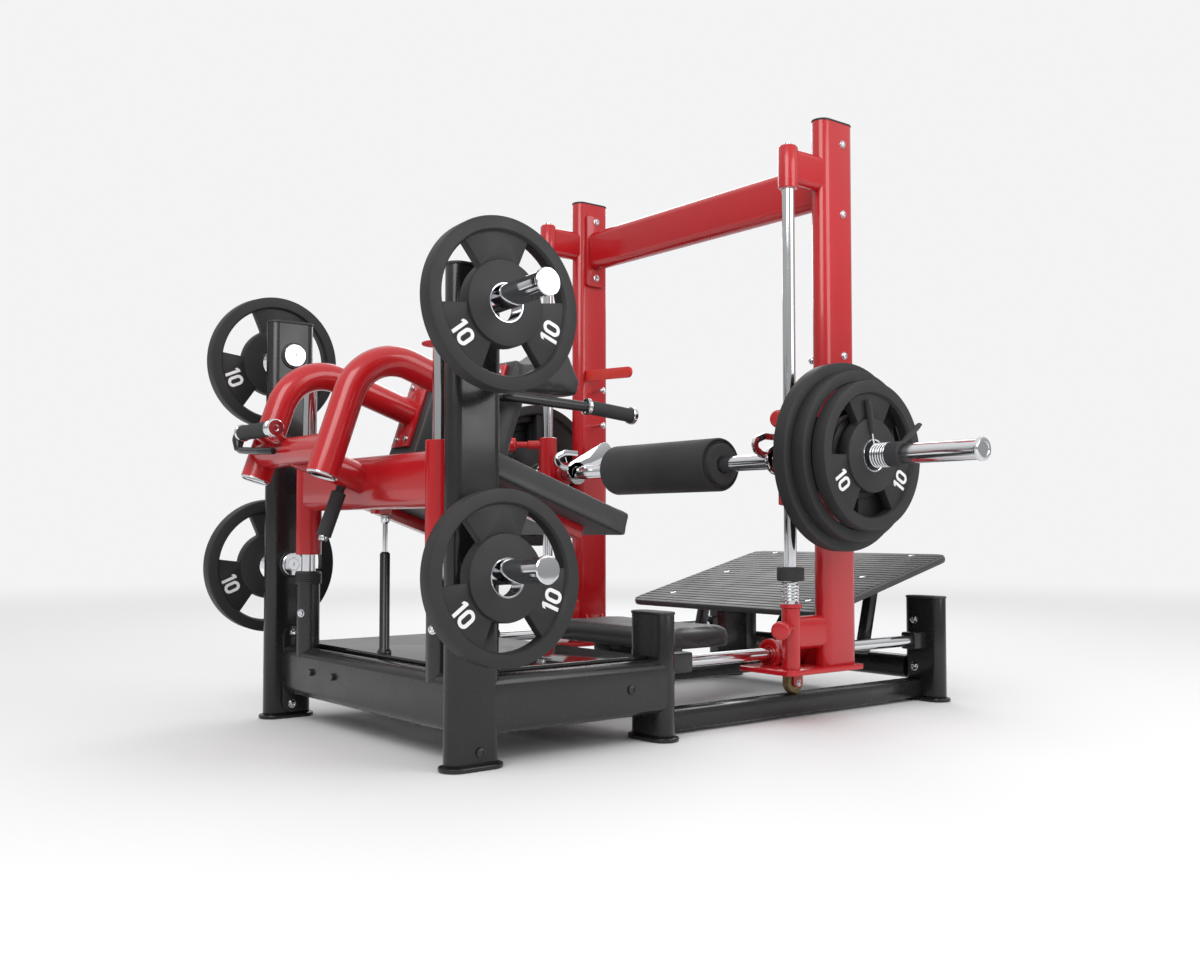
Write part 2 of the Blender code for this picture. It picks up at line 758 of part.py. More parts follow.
def on_arm_end(d, s):
    end, along, up = arm_end()
    return (end[0] + d * along[0] + s * up[0], end[1] + d * along[1] + s * up[1])


def arm(side):
    """Bent shoulder arm with its end plate."""
    x = side * ARM_X
    tip = on_arm_end(0.004, 0)
    path = bent([(x, *ARM_FOOT), (x, *ARM_CORNER), (x, *tip)], ARM_BEND)
    width, height, thickness = ARM_PLATE
    corners = [(0, -height / 2), (thickness, -height / 2), (thickness, height / 2), (0, height / 2)]
    plate = prism([on_arm_end(d, s) for d, s in corners], "x", x - width / 2, x + width / 2)
    return fused(sweep(path, ARM_RADIUS, 16), plate)


def tie_stub():
    """Sloping tube from the middle of the tie to the face of the back beam, with the lift grip under it."""
    y, z = TIE_CENTRE
    face = -TUBE_SHORT / 2 - GAP
    fall = (STUB_END_Z - z) / (face - y)
    past = 0.030
    tube = sweep([(0, y, z), (0, face + past, STUB_END_Z + past * fall)], STUB_RADIUS, 16)
    tube = cut(tube, box((-0.1, face, z - 0.2), (0.1, face + 0.1, z + 0.2)))
    grip = [(0, -0.0648, 0.5773), (0, -0.0740, 0.5531), (0, -0.0742, 0.5525), (0, -0.1078, 0.4634)]
    grip.extend([(0, -0.1080, 0.4628), (0, -0.1115, 0.4527)])
    return fused(tube, sweep(grip, [0.010, 0.010, 0.0145, 0.0145, 0.0165, 0.0165], 10))


def arm_tie():
    """Tube between the two arms with the fixed release grip and the stub to the back beam."""
    y, z = TIE_CENTRE
    tube = rod(TIE_RADIUS, "x", (y, z), -ARM_X, ARM_X, 20)
    grip_y, grip_z = -0.225, 0.690
    grip_profile = [(0, -0.185), (0.020, -0.185), (0.020, -0.173), (0.017, -0.172), (0.017, -0.022)]
    grip_profile.extend([(0.020, -0.021), (0.020, 0.004), (0, 0.004)])
    grip = lathe(grip_profile, "x", (grip_y, grip_z))
    webs = []
    web = [(-0.195, 0.655), (-0.178, 0.664)]
    web.extend([(grip_y + 0.006, grip_z + 0.006), (grip_y - 0.006, grip_z - 0.006)])
    for x in (-0.112, -0.030):
        webs.append(prism(web, "x", x - 0.008, x + 0.008))
    copes = []
    foot_y, foot_z = ARM_FOOT
    reach = math.tan(ARM_LEAN)
    for side in SIDES.values():
        ends = [(side * ARM_X, foot_y + (level - foot_z) * reach, level) for level in (0.540, 0.760)]
        copes.append(sweep(ends, ARM_RADIUS + GAP, 16))
    copes.append(box((ARM_X, -0.3, 0.55), (ARM_X + 0.05, -0.1, 0.72)))
    copes.append(box((-ARM_X - 0.05, -0.3, 0.55), (-ARM_X, -0.1, 0.72)))
    return fused(cut(tube, *copes), grip, *webs, tie_stub())


def release_lever():
    path = bent([(-0.160, -0.236, 0.650), (-0.060, -0.238, 0.641), (-0.006, -0.234, 0.658)], 0.040, 4)
    return sweep(path, 0.006, 8)


def smoothed(points, rounds=1):
    """Cuts each corner of a closed outline a quarter of the way along its edges."""
    for _ in range(rounds):
        cut_points = []
        for (a0, b0), (a1, b1) in zip(points, points[1:] + points[:1]):
            cut_points.append((0.8 * a0 + 0.2 * a1, 0.8 * b0 + 0.2 * b1))
            cut_points.append((0.2 * a0 + 0.8 * a1, 0.2 * b0 + 0.8 * b1))
        points = cut_points
    return points


def drawn_in(points, inset):
    """An outline with each point moved inwards along its corner's bisector."""
    area = sum(a0 * b1 - a1 * b0 for (a0, b0), (a1, b1) in zip(points, points[1:] + points[:1]))
    sign = 1 if area > 0 else -1
    result = []
    for before, point, after in zip(points[-1:] + points[:-1], points, points[1:] + points[:1]):
        tangent = Vector((after[0] - before[0], after[1] - before[1])).normalized()
        result.append((point[0] - sign * tangent.y * inset, point[1] + sign * tangent.x * inset))
    return result


def shoulder_pad(side):
    """Padded hook over the shoulder: a slab on the arm's end plate with a forward overhang."""
    rear = ARM_PLATE[2] + GAP
    outline = [
        on_arm_end(rear, -0.122),
        on_arm_end(0.062, -0.126),
        on_arm_end(0.064, 0.008),
        (0.272, 0.783),
        (0.402, 0.788),
        (0.428, 0.812),
        (0.430, 0.862),
        (0.408, 0.893),
        (0.370, 0.896),
        (0.288, 0.847),
        (0.264, 0.849),
        on_arm_end(rear, 0.106),
    ]
    outline = smoothed(outline)
    half = SHOULDER_PAD_WIDTH / 2
    middle = side * ARM_X
    rings = []
    levels = ((-1.0, 0.009), (-0.95, 0.003), (-0.84, 0.0), (0.84, 0.0), (0.95, 0.003), (1.0, 0.009))
    for along, inset in levels:
        rings.append([(middle + along * half, a, b) for a, b in drawn_in(outline, inset)])
    return loft(rings)


def handle_height(y):
    start_y, start_z = HANDLE_BEND_END
    return start_z - (y - start_y) * HANDLE_FALL


def side_handle(side):
    """Bent handle tube with its grip, from the side of the arm."""
    edge = ARM_X + ARM_RADIUS + GAP
    root_y, root_z = on_arm_end(-0.016, 0)
    corners = [(side * edge, root_y, root_z), (side * HANDLE_X, root_y, root_z)]
    corners.append((side * HANDLE_X, *HANDLE_BEND_END))
    path = bent(corners, 0.030, 5)
    radii = [0.0120] * len(path)
    for start, end, radius in (HANDLE_COLLAR, HANDLE_GRIP, HANDLE_CAP):
        for y in (start, end):
            path.append(Vector((side * HANDLE_X, y, handle_height(y))))
            radii.append(radius)
    return sweep(path, radii)


def knob_frame(side, height):
    """Turns a shape drawn along +X into the direction of a pull knob on a guide rod."""
    azimuth = KNOB_AZIMUTH if side > 0 else math.pi - KNOB_AZIMUTH
    spin = Matrix.Rotation(azimuth, 4, "Z")
    return Matrix.Translation((side * UPRIGHT_X, ROD_Y, height)) @ spin


def along_knob(mesh, side, height):
    mesh.transform(knob_frame(side, height))
    return mesh


def pull_knob(side, height, start):
    """Pull knob, resting on its barrel at a distance from the guide rod's axis."""
    profile = [
        (0, start),
        (0.0095, start),
        (0.0095, 0.096),
        (0.0205, 0.098),
        (0.0215, 0.101),
        (0.0215, 0.114),
        (0.0180, 0.118),
        (0, 0.118),
    ]
    return along_knob(lathe(profile, "x", (0, 0)), side, height)


def upright(side):
    """Gantry leg: oval upright, foot with its rail bearing and wheel fork, and the guide rod's brackets."""
    x = side * UPRIGHT_X
    pieces = [prism(oval((x, UPRIGHT_Y), TUBE_SHORT, TUBE_LONG), "z", UPRIGHT_BASE - 0.004, UPRIGHT_TOP)]
    bearing_radius = RAIL_RADIUS + BEARING_WALL
    socket_radius = ROD_RADIUS + ROD_SOCKET_WALL
    rim_radius = socket_radius + ROD_SOCKET_RIM
    socket_top = SPRING_BASE - 0.0005
    plate_base = UPRIGHT_BASE - GANTRY_PLATE_THICKNESS
    plate_outer = UPRIGHT_X + TUBE_SHORT / 2 + GANTRY_PLATE_MARGIN
    plate_x = sorted((side * (RAIL_X - bearing_radius - GANTRY_PLATE_MARGIN), side * plate_outer))
    plate_front = ROD_Y - socket_radius - 0.0205
    plate_back = UPRIGHT_Y + TUBE_LONG / 2 + GANTRY_PLATE_MARGIN
    pieces.append(box((plate_x[0], plate_front, plate_base), (plate_x[1], plate_back, UPRIGHT_BASE)))
    pieces.append(rod(bearing_radius, "y", (side * RAIL_X, RAIL_Z), BEARING_START, BEARING_END))
    socket = [
        (0, plate_base + 0.005),
        (socket_radius, plate_base + 0.005),
        (socket_radius, socket_top - 0.010),
        (rim_radius, socket_top - 0.009),
        (rim_radius, socket_top),
        (0, socket_top),
    ]
    pieces.append(lathe(socket, "z", (x, ROD_Y)))
    bracket_end = UPRIGHT_Y - TUBE_LONG / 2 + 0.030
    foot_bracket = oval((x, 0.224), 2 * (ROD_RADIUS + ROD_BRACKET_WALL), 0.080)
    pieces.append(prism(foot_bracket, "y", ROD_Y + 0.002, bracket_end))
    pieces.append(rod(ROD_RADIUS + ROD_RING_WALL, "z", (x, ROD_Y), ROD_TOP - 0.1135, ROD_TOP - 0.0105, 20))
    top_bracket = oval((x, ROD_TOP - 0.0575), 2 * (ROD_RADIUS + ROD_BRACKET_WALL) + 0.002, 0.087)
    pieces.append(prism(top_bracket, "y", ROD_Y + 0.002, bracket_end))
    for lug in (-1, 1):
        middle = side * TRACK_X + lug * 0.0165
        low = (middle - 0.003, WHEEL_Y - 0.017, TRACK_TOP + 0.0165)
        pieces.append(box(low, (middle + 0.003, WHEEL_Y + 0.017, plate_base + 0.005)))
    axle_z = TRACK_TOP + WHEEL_RADIUS + GAP
    pieces.append(rod(0.0055, "x", (WHEEL_Y, axle_z), side * TRACK_X - 0.022, side * TRACK_X + 0.022, 16))
    inner = UPRIGHT_X - TUBE_SHORT / 2
    for height in PEG_LADDER:
        ends = sorted((side * (inner + 0.010), side * PEG_LADDER_TIP))
        pieces.append(rod(0.010, "x", (UPRIGHT_Y, height), *ends, 16))
    barrel = rod(KNOB_BARREL_RADIUS, "x", (0, 0), ROD_RADIUS - 0.005, FOOT_KNOB_START - GAP, 20)
    pieces.append(along_knob(barrel, side, FOOT_KNOB_Z))
    if side < 0:
        stop = stroke([(-0.470, 0.946), (-0.265, 0.937)], 0.0165, "y", 0.985, 0.993)
        pieces.extend(stop)
        pieces.append(box((-0.480, 0.985, 0.931), (-0.462, 1.010, 0.961)))
    bores = [
        rod(RAIL_RADIUS + SLIDE_GAP, "y", (side * RAIL_X, RAIL_Z), BEARING_START - 0.02, BEARING_END + 0.02),
        rod(ROD_RADIUS + GAP, "z", (x, ROD_Y), UPRIGHT_BASE + 0.0102, SPRING_BASE + 0.016),
        rod(ROD_RADIUS + GAP, "z", (x, ROD_Y), ROD_TOP - 0.128, ROD_TOP + 0.002),
    ]
    return cut(fused(*pieces), *bores)


def top_beam():
    reach = UPRIGHT_X - TUBE_SHORT / 2 - GAP
    pieces = [prism(oval((UPRIGHT_Y, TOP_BEAM_Z), TUBE_SHORT, TUBE_LONG), "x", -reach + 0.005, reach - 0.005)]
    for side in SIDES.values():
        ends = sorted((side * reach, side * (reach - FLANGE_THICKNESS)))
        pieces.append(prism(oval((UPRIGHT_Y, TOP_BEAM_Z), TUBE_SHORT + 0.018, 0.222), "x", *ends))
    return fused(*pieces)


def guide_rod(side):
    profile = [
        (0, UPRIGHT_BASE + 0.0107),
        (ROD_RADIUS, UPRIGHT_BASE + 0.0107),
        (ROD_RADIUS, ROD_TOP - 0.0100),
        (ROD_RADIUS + 0.0025, ROD_TOP - 0.0099),
        (ROD_RADIUS + 0.0025, ROD_TOP - 0.005),
        (ROD_RADIUS - 0.005, ROD_TOP),
        (0, ROD_TOP),
    ]
    return lathe(profile, "z", (side * UPRIGHT_X, ROD_Y))


def wheel(side):
    centre = (WHEEL_Y, TRACK_TOP + WHEEL_RADIUS + GAP)
    low = side * TRACK_X - 0.0115
    high = side * TRACK_X + 0.0115
    profile = [
        (0.0065, low),
        (WHEEL_RADIUS - 0.003, low),
        (WHEEL_RADIUS, low + 0.004),
        (WHEEL_RADIUS, high - 0.004),
        (WHEEL_RADIUS - 0.003, high),
        (0.0065, high),
    ]
    return lathe(profile, "x", centre)


def bumper(side):
    bore = ROD_RADIUS + SLIDE_GAP
    radius = ROD_RADIUS + BUMPER_WALL
    profile = [
        (bore, BUMPER_BASE),
        (radius - 0.0025, BUMPER_BASE),
        (radius, BUMPER_BASE + 0.004),
        (radius, BUMPER_TOP - 0.004),
        (radius - 0.0025, BUMPER_TOP),
        (bore, BUMPER_TOP),
    ]
    return lathe(profile, "z", (side * UPRIGHT_X, ROD_Y))


def bumper_spring(side):
    """One unbroken coil between the foot's socket and the bumper."""
    reach = ROD_RADIUS + SPRING_CLEARANCE + SPRING_WIRE
    low = SPRING_BASE + SPRING_WIRE
    high = BUMPER_BASE - GAP - SPRING_WIRE
    steps = 8 * SPRING_TURNS
    path = []
    for step in range(steps + 1):
        angle = 2 * math.pi * step / 8
        path.append(
            (
                side * UPRIGHT_X + reach * math.cos(angle),
                ROD_Y + reach * math.sin(angle),
                low + (high - low) * step / steps,
            )
        )
    free = (high - low) / SPRING_TURNS - 2 * SPRING_WIRE
    print(f"free gap between curls: {free * 1000:.2f} mm")
    return sweep(path, SPRING_WIRE, 5)


def slider(side):
    """Sleeve on the guide rod with the bar's bearing housing and the barrel of its pull knob."""
    x = side * UPRIGHT_X
    tube = rod(ROD_RADIUS + SLIDER_WALL, "z", (x, ROD_Y), SLIDER_BASE, SLIDER_TOP)
    ends = sorted((side * 0.455, side * 0.526))
    housing = rod(0.034, "x", (BAR_Y, BAR_Z), *ends)
    half = ROD_RADIUS + ROD_SOCKET_WALL
    neck = box((x - half, ROD_Y, BAR_Z - 0.030), (x + half, BAR_Y, BAR_Z + 0.030))
    barrel = rod(KNOB_BARREL_RADIUS, "x", (0, 0), ROD_RADIUS - 0.005, SLIDER_KNOB_START - GAP, 20)
    body = fused(tube, housing, neck, along_knob(barrel, side, SLIDER_KNOB_Z))
    bores = [
        rod(ROD_RADIUS + SLIDE_GAP, "z", (x, ROD_Y), SLIDER_BASE - 0.03, SLIDER_TOP + 0.03),
        rod(BAR_RADIUS + 0.0010, "x", (BAR_Y, BAR_Z), *sorted((side * 0.440, side * 0.540))),
    ]
    return cut(body, *bores)


def bar():
    half = [
        (BAR_RADIUS, SHOULDER_X),
        (0.036, SHOULDER_X + 0.001),
        (0.036, SHOULDER_X + 0.019),
        (BAR_SLEEVE_RADIUS, SHOULDER_X + 0.020),
        (BAR_SLEEVE_RADIUS, BAR_HALF_LENGTH - 0.011),
        (BAR_SLEEVE_RADIUS + 0.0025, BAR_HALF_LENGTH - 0.010),
        (BAR_SLEEVE_RADIUS + 0.0025, BAR_HALF_LENGTH - 0.002),
        (BAR_SLEEVE_RADIUS, BAR_HALF_LENGTH),
        (0, BAR_HALF_LENGTH),
    ]
    mirrored = [(radius, -along) for radius, along in reversed(half)]
    return lathe(mirrored + half, "x", (BAR_Y, BAR_Z))


def roller():
    bore = BAR_RADIUS + 0.0010
    half = [
        (ROLLER_RADIUS, ROLLER_HALF_LENGTH - 0.022),
        (ROLLER_RADIUS - 0.004, ROLLER_HALF_LENGTH - 0.013),
        (ROLLER_RADIUS - 0.012, ROLLER_HALF_LENGTH - 0.009),
        (ROLLER_RADIUS - 0.016, ROLLER_HALF_LENGTH - 0.002),
        (ROLLER_RADIUS - 0.022, ROLLER_HALF_LENGTH),
        (bore, ROLLER_HALF_LENGTH),
    ]
    mirrored = [(radius, -along) for radius, along in reversed(half)]
    return lathe(mirrored + half, "x", (BAR_Y, BAR_Z))


def hook(side):
    """Flat hook on the bar: hub, catching arm and curled finger."""
    ends = sorted((side * (HOOK_X - HOOK_THICKNESS / 2), side * (HOOK_X + HOOK_THICKNESS / 2)))
    hub = rod(0.034, "x", (BAR_Y, BAR_Z), *ends)
    reach = stroke([(BAR_Y - 0.014, BAR_Z + 0.018), (BAR_Y + 0.108, BAR_Z + 0.083)], 0.0175, "x", *ends)
    curl = [(-0.020, 0.010), (-0.054, 0.0155), (-0.0745, 0.0290)]
    curl.extend([(-0.073, 0.0490), (-0.044, 0.0610), (0.001, 0.0585)])
    finger = stroke([(BAR_Y + a, BAR_Z + b) for a, b in curl], 0.0075, "x", *ends, 2)
    bore = rod(BAR_RADIUS + GAP, "x", (BAR_Y, BAR_Z), ends[0] - 0.02, ends[1] + 0.02)
    return cut(fused(hub, *reach, *finger), bore)


def add_base():
    for name, side in SIDES.items():
        add_part(f"side_frame_{name}", side_frame(side), "black_paint")
        add_part(f"track_frame_{name}", track_frame(side), "black_paint")
        add_part(f"rail_rod_{name}", rail_rod(side), "chrome")
        add_part(f"column_{name}", column(side), "chrome")
    add_part("head_beam", head_beam(), "black_paint")
    add_part("centre_frame", centre_frame(), "black_paint")
    add_part("deck_panel", deck_panel(), "deck")
    add_part("seat_pad", seat_pad(), "pad")
    add_part("foot_plate", foot_plate(), "foot_plate")
    add_part("gas_cylinder", gas_cylinder(), "black_paint")


def add_storage():
    stored = weight_plate(PLATE_RADIUS, PLATE_THICKNESS, STORED_BORE)
    drop = STORED_BORE - PEG_RADIUS - 0.0012
    for level, height in PEG_HEIGHTS.items():
        for name, side in SIDES.items():
            add_part(f"storage_peg_{level}_{name}", storage_peg(side, height), "chrome")
            out = STORED_PLATE_X[level]
            plate = moved(stored.copy(), (side * out, 0, height - drop))
            root = (peg_root(side), 0, height)
            turned(plate, -side * PEG_TILT, "y", root)
            reach = out - abs(root[0])
            origin = (side * out, 0, height + reach * math.tan(PEG_TILT))
            add_part(f"storage_plate_{level}_{name}", plate, "rubber", origin)


def add_back_rest():
    for name, side in SIDES.items():
        add_part(f"sleeve_{name}", sleeve(side), "red_paint", (side * COLUMN_X, 0, BACK_BEAM_Z))
        add_part(f"arm_{name}", arm(side), "red_paint")
        add_part(f"shoulder_pad_{name}", shoulder_pad(side), "pad")
        add_part(f"side_handle_{name}", side_handle(side), "rubber")
    add_part("back_beam", back_beam(), "red_paint", (0, 0, BACK_BEAM_Z))
    add_part("arm_tie", arm_tie(), "red_paint")
    add_part("back_pad", back_pad(), "pad")
    add_part("gas_rod", gas_rod(), "chrome", (0, GAS_Y, 0.262))
    add_part("release_lever", release_lever(), "rubber", (-0.006, -0.234, 0.658))


def add_gantry():
    axle_z = TRACK_TOP + WHEEL_RADIUS + GAP
    for name, side in SIDES.items():
        x = side * UPRIGHT_X
        add_part(f"upright_{name}", upright(side), "red_paint", (x, UPRIGHT_Y, UPRIGHT_BASE))
        add_part(f"guide_rod_{name}", guide_rod(side), "chrome")
        add_part(f"wheel_{name}", wheel(side), "tan", (side * TRACK_X, WHEEL_Y, axle_z))
        add_part(f"bumper_{name}", bumper(side), "rubber", (x, ROD_Y, BUMPER_BASE))
        add_part(f"bumper_spring_{name}", bumper_spring(side), "chrome", (x, ROD_Y, SPRING_BASE))
        knob = pull_knob(side, FOOT_KNOB_Z, FOOT_KNOB_START)
        add_part(f"foot_knob_{name}", knob, "red_paint", (x, ROD_Y, FOOT_KNOB_Z))
    add_part("top_beam", top_beam(), "red_paint")


def add_bar():
    axis = (0, BAR_Y, BAR_Z)
    small = weight_plate(PLATE_RADIUS, PLATE_THICKNESS, BAR_SLEEVE_RADIUS + GAP)
    pair_end = BIG_PLATE_INNER_X + BIG_PLATE_THICKNESS + MIDDLE_PLATE_THICKNESS
    small_x = pair_end + PLATE_GAP + PLATE_THICKNESS / 2
    add_part("bar", bar(), "chrome", axis)
    add_part("roller", roller(), "foam", axis)
    for name, side in SIDES.items():
        add_part(f"slider_{name}", slider(side), "red_paint", (side * UPRIGHT_X, ROD_Y, BAR_Z))
        knob = pull_knob(side, SLIDER_KNOB_Z, SLIDER_KNOB_START)
        add_part(f"slider_knob_{name}", knob, "red_paint", (side * UPRIGHT_X, ROD_Y, SLIDER_KNOB_Z))
        add_part(f"hook_{name}", hook(side), "chrome", axis)
        far = moved(plate_pair(side, BAR_SLEEVE_RADIUS + GAP), (side * BIG_PLATE_INNER_X, BAR_Y, BAR_Z))
        near = moved(small.copy(), (side * small_x, BAR_Y, BAR_Z))
        add_part(f"big_plate_{name}", far, "rubber", axis)
        add_part(f"small_plate_{name}", near, "rubber", axis)


def centre_assembly():
    """Moves every node so that the middle of the machine's floor outline is at the origin."""
    nodes = list(bpy.context.scene.collection.objects)
    corners = [node.location + vertex.co for node in nodes for vertex in node.data.vertices]
    low = [min(point[axis] for point in corners) for axis in range(3)]
    high = [max(point[axis] for point in corners) for axis in range(3)]
    shift = Vector(((low[0] + high[0]) / 2, (low[1] + high[1]) / 2, low[2]))
    for node in nodes:
        node.location -= shift
    print(f"shift {shift.x:.6f} {shift.y:.6f} {shift.z:.6f}")


def main():
    clear_scene()
    add_base()
    add_storage()
    add_back_rest()
    add_gantry()
    add_bar()
    centre_assembly()


main()
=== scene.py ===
"""Looks of a hip-thrust smith machine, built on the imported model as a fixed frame.

Everything is drawn in metres with y = 0 on the line of the two head posts. The workshop moves each
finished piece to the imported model's own origin before it is handed over.
"""

import logging
import math
from dataclasses import dataclass, field
from enum import Enum
from typing import Iterable, Sequence

import bmesh
import bpy
from mathutils import Matrix, Vector

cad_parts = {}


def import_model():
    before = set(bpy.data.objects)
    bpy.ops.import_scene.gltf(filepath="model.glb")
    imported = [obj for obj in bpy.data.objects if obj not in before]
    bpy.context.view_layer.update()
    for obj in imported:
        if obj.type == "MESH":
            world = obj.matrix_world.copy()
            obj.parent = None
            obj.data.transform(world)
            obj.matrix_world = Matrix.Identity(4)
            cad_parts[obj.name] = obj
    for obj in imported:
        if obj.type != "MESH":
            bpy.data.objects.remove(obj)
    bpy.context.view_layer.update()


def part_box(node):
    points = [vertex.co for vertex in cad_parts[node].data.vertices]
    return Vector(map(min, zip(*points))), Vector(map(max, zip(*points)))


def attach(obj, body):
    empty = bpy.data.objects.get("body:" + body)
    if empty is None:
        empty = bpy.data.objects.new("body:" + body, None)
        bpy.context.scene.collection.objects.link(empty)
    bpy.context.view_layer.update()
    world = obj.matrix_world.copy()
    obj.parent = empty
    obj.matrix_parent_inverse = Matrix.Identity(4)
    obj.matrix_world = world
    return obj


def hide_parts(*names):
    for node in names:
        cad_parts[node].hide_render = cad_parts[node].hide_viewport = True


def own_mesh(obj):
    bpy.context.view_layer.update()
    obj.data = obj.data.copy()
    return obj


log = logging.getLogger("smith_machine")

Pair = tuple[float, float]
Triple = tuple[float, float, float]
Tree = bpy.types.NodeTree
Socket = bpy.types.NodeSocket

SIDES = {"left": -1, "right": 1}
PEG_HEIGHTS = {"upper": 0.912, "lower": 0.384}
GAS_SPRING_PLACE = (0.0, 0.042)
RAIL_PLACE = (0.395, 0.167)
TRACK_X = 0.3685
COLUMN_X = 0.310
GRIP_PLATE_RADIUS = 0.171
GRIP_PLATE_THICKNESS = 0.037
SMOOTH = 38.0
PLATE_SMOOTH = 24.0


class Axis(Enum):
    """The axis that a form runs along, as the rows of its two cross directions and its length."""

    X = (1, 2, 0)
    Y = (0, 2, 1)
    Z = (0, 1, 2)


class Grain(Enum):
    """The fine relief of a surface."""

    PEEL = "peel"
    HIDE = "hide"
    CELL = "cell"
    POLISH = "polish"
    MOULDED = "moulded"
    KNURL = "knurl"


def add_node(
    tree: Tree, kind: str, values: dict | None = None, feeds: dict | None = None,
) -> bpy.types.Node:
    """Adds a shader node.

    Args:
        tree: The nodes that it joins.
        kind: Its type, without the common first word.
        values: Constants, by the name or place of the input.
        feeds: Outputs that feed it, by the same.

    Returns:
        The new node.
    """
    node = tree.nodes.new(f"ShaderNode{kind}")
    for key, value in (values or {}).items():
        node.inputs[key].default_value = value
    for key, source in (feeds or {}).items():
        tree.links.new(source, node.inputs[key])
    return node


@dataclass(frozen=True)
class Finish:
    """One surface finish, made as a procedural material on Object coordinates."""

    name: str
    slot: str
    colour: Triple
    roughness: float
    metallic: float = 0.0
    specular: float = 0.5
    coat: float = 0.0
    coat_roughness: float = 0.06
    sheen: float = 0.0
    shade: float = 0.18
    shade_scale: float = 5.0
    rough_span: float = 0.06
    rough_scale: float = 14.0
    grain: Grain = Grain.PEEL
    grain_scale: float = 240.0
    grain_depth: float = 0.00004
    # Lightening of sharp edges, partly wear and partly painted highlight.
    edge_wear_and_highlight: float = 0.0

    def material(self) -> bpy.types.Material:
        """Makes the material once and hands back the same one after that.

        Returns:
            The finished material.
        """
        made = bpy.data.materials.get(self.name)
        if made is not None:
            return made
        made = bpy.data.materials.new(self.name)
        made.use_nodes = True
        tree = made.node_tree
        shader = tree.nodes["Principled BSDF"]
        plain = {
            "Metallic": self.metallic,
            "Specular IOR Level": self.specular,
            "Coat Weight": self.coat,
            "Coat Roughness": self.coat_roughness,
            "Sheen Weight": self.sheen,
            "Sheen Roughness": 0.5,
        }
        for socket, value in plain.items():
            shader.inputs[socket].default_value = value
        place = add_node(tree, "TexCoord").outputs["Object"]
        self._colour(tree, shader, place)
        self._roughness(tree, shader, place)
        self._relief(tree, shader, place)
        return made

    def _noise(self, tree: Tree, place: Socket, scale: float, detail: float = 3.0) -> Socket:
        """Adds a noise texture and hands back its grey output."""
        noise = add_node(tree, "TexNoise", {"Scale": scale, "Detail": detail}, {"Vector": place})
        return noise.outputs["Fac"]

    def _colour(self, tree: Tree, shader: bpy.types.Node, place: Socket) -> None:
        """Lets the colour drift and lightens sharp edges: partly wear, partly painted highlight."""
        ramp = add_node(tree, "ValToRGB", feeds={"Fac": self._noise(tree, place, self.shade_scale)})
        low, high = ramp.color_ramp.elements
        low.position, high.position = 0.3, 0.7
        low.color = (*(c * (1 - self.shade) for c in self.colour), 1.0)
        high.color = (*(min(1.0, c * (1 + self.shade)) for c in self.colour), 1.0)
        colour = ramp.outputs["Color"]
        # Painted highlight and wear: sharp edges are mixed towards a lighter copy of the colour.
        if self.edge_wear_and_highlight > 0:
            edge = add_node(tree, "NewGeometry").outputs["Pointiness"]
            span = {"From Min": 0.53, "From Max": 0.64, "To Max": self.edge_wear_and_highlight}
            reach = add_node(tree, "MapRange", span, {"Value": edge})
            mix = add_node(tree, "Mix")
            mix.data_type = "RGBA"
            mix.inputs["B"].default_value = (*(min(1.0, c * 1.6 + 0.03) for c in self.colour), 1.0)
            tree.links.new(reach.outputs["Result"], mix.inputs["Factor"])
            tree.links.new(colour, mix.inputs["A"])
            colour = mix.outputs["Result"]
        tree.links.new(colour, shader.inputs["Base Color"])

    def _roughness(self, tree: Tree, shader: bpy.types.Node, place: Socket) -> None:
        """Varies the gloss with faint handling marks."""
        span = {
            "From Min": 0.3,
            "From Max": 0.7,
            "To Min": max(0.02, self.roughness - self.rough_span),
            "To Max": min(1.0, self.roughness + self.rough_span),
        }
        cloud = self._noise(tree, place, self.rough_scale, 5.0)
        marks = add_node(tree, "MapRange", span, {"Value": cloud})
        tree.links.new(marks.outputs["Result"], shader.inputs["Roughness"])

    def _relief(self, tree: Tree, shader: bpy.types.Node, place: Socket) -> None:
        """Adds the fine relief of the finish as a bump."""
        feed = {"Vector": place}
        if self.grain is Grain.HIDE:
            cells = add_node(tree, "TexVoronoi", {"Scale": self.grain_scale}, feed)
            cells.feature = "SMOOTH_F1"
            height = cells.outputs["Distance"]
        elif self.grain is Grain.KNURL:
            rings = add_node(tree, "TexWave", {"Scale": self.grain_scale, "Distortion": 0.4}, feed)
            rings.bands_direction = "DIAGONAL"
            height = rings.outputs["Fac"]
        elif self.grain is Grain.POLISH:
            stretch = add_node(tree, "Mapping", {"Scale": (1.0, 1.0, 14.0)}, feed)
            height = self._noise(tree, stretch.outputs["Vector"], self.grain_scale, 2.0)
        else:
            detail = 4.0 if self.grain is Grain.CELL else 2.0
            height = self._noise(tree, place, self.grain_scale, detail)
        depth = {"Strength": 1.0, "Distance": self.grain_depth}
        bump = add_node(tree, "Bump", depth, {"Height": height})
        tree.links.new(bump.outputs["Normal"], shader.inputs["Normal"])


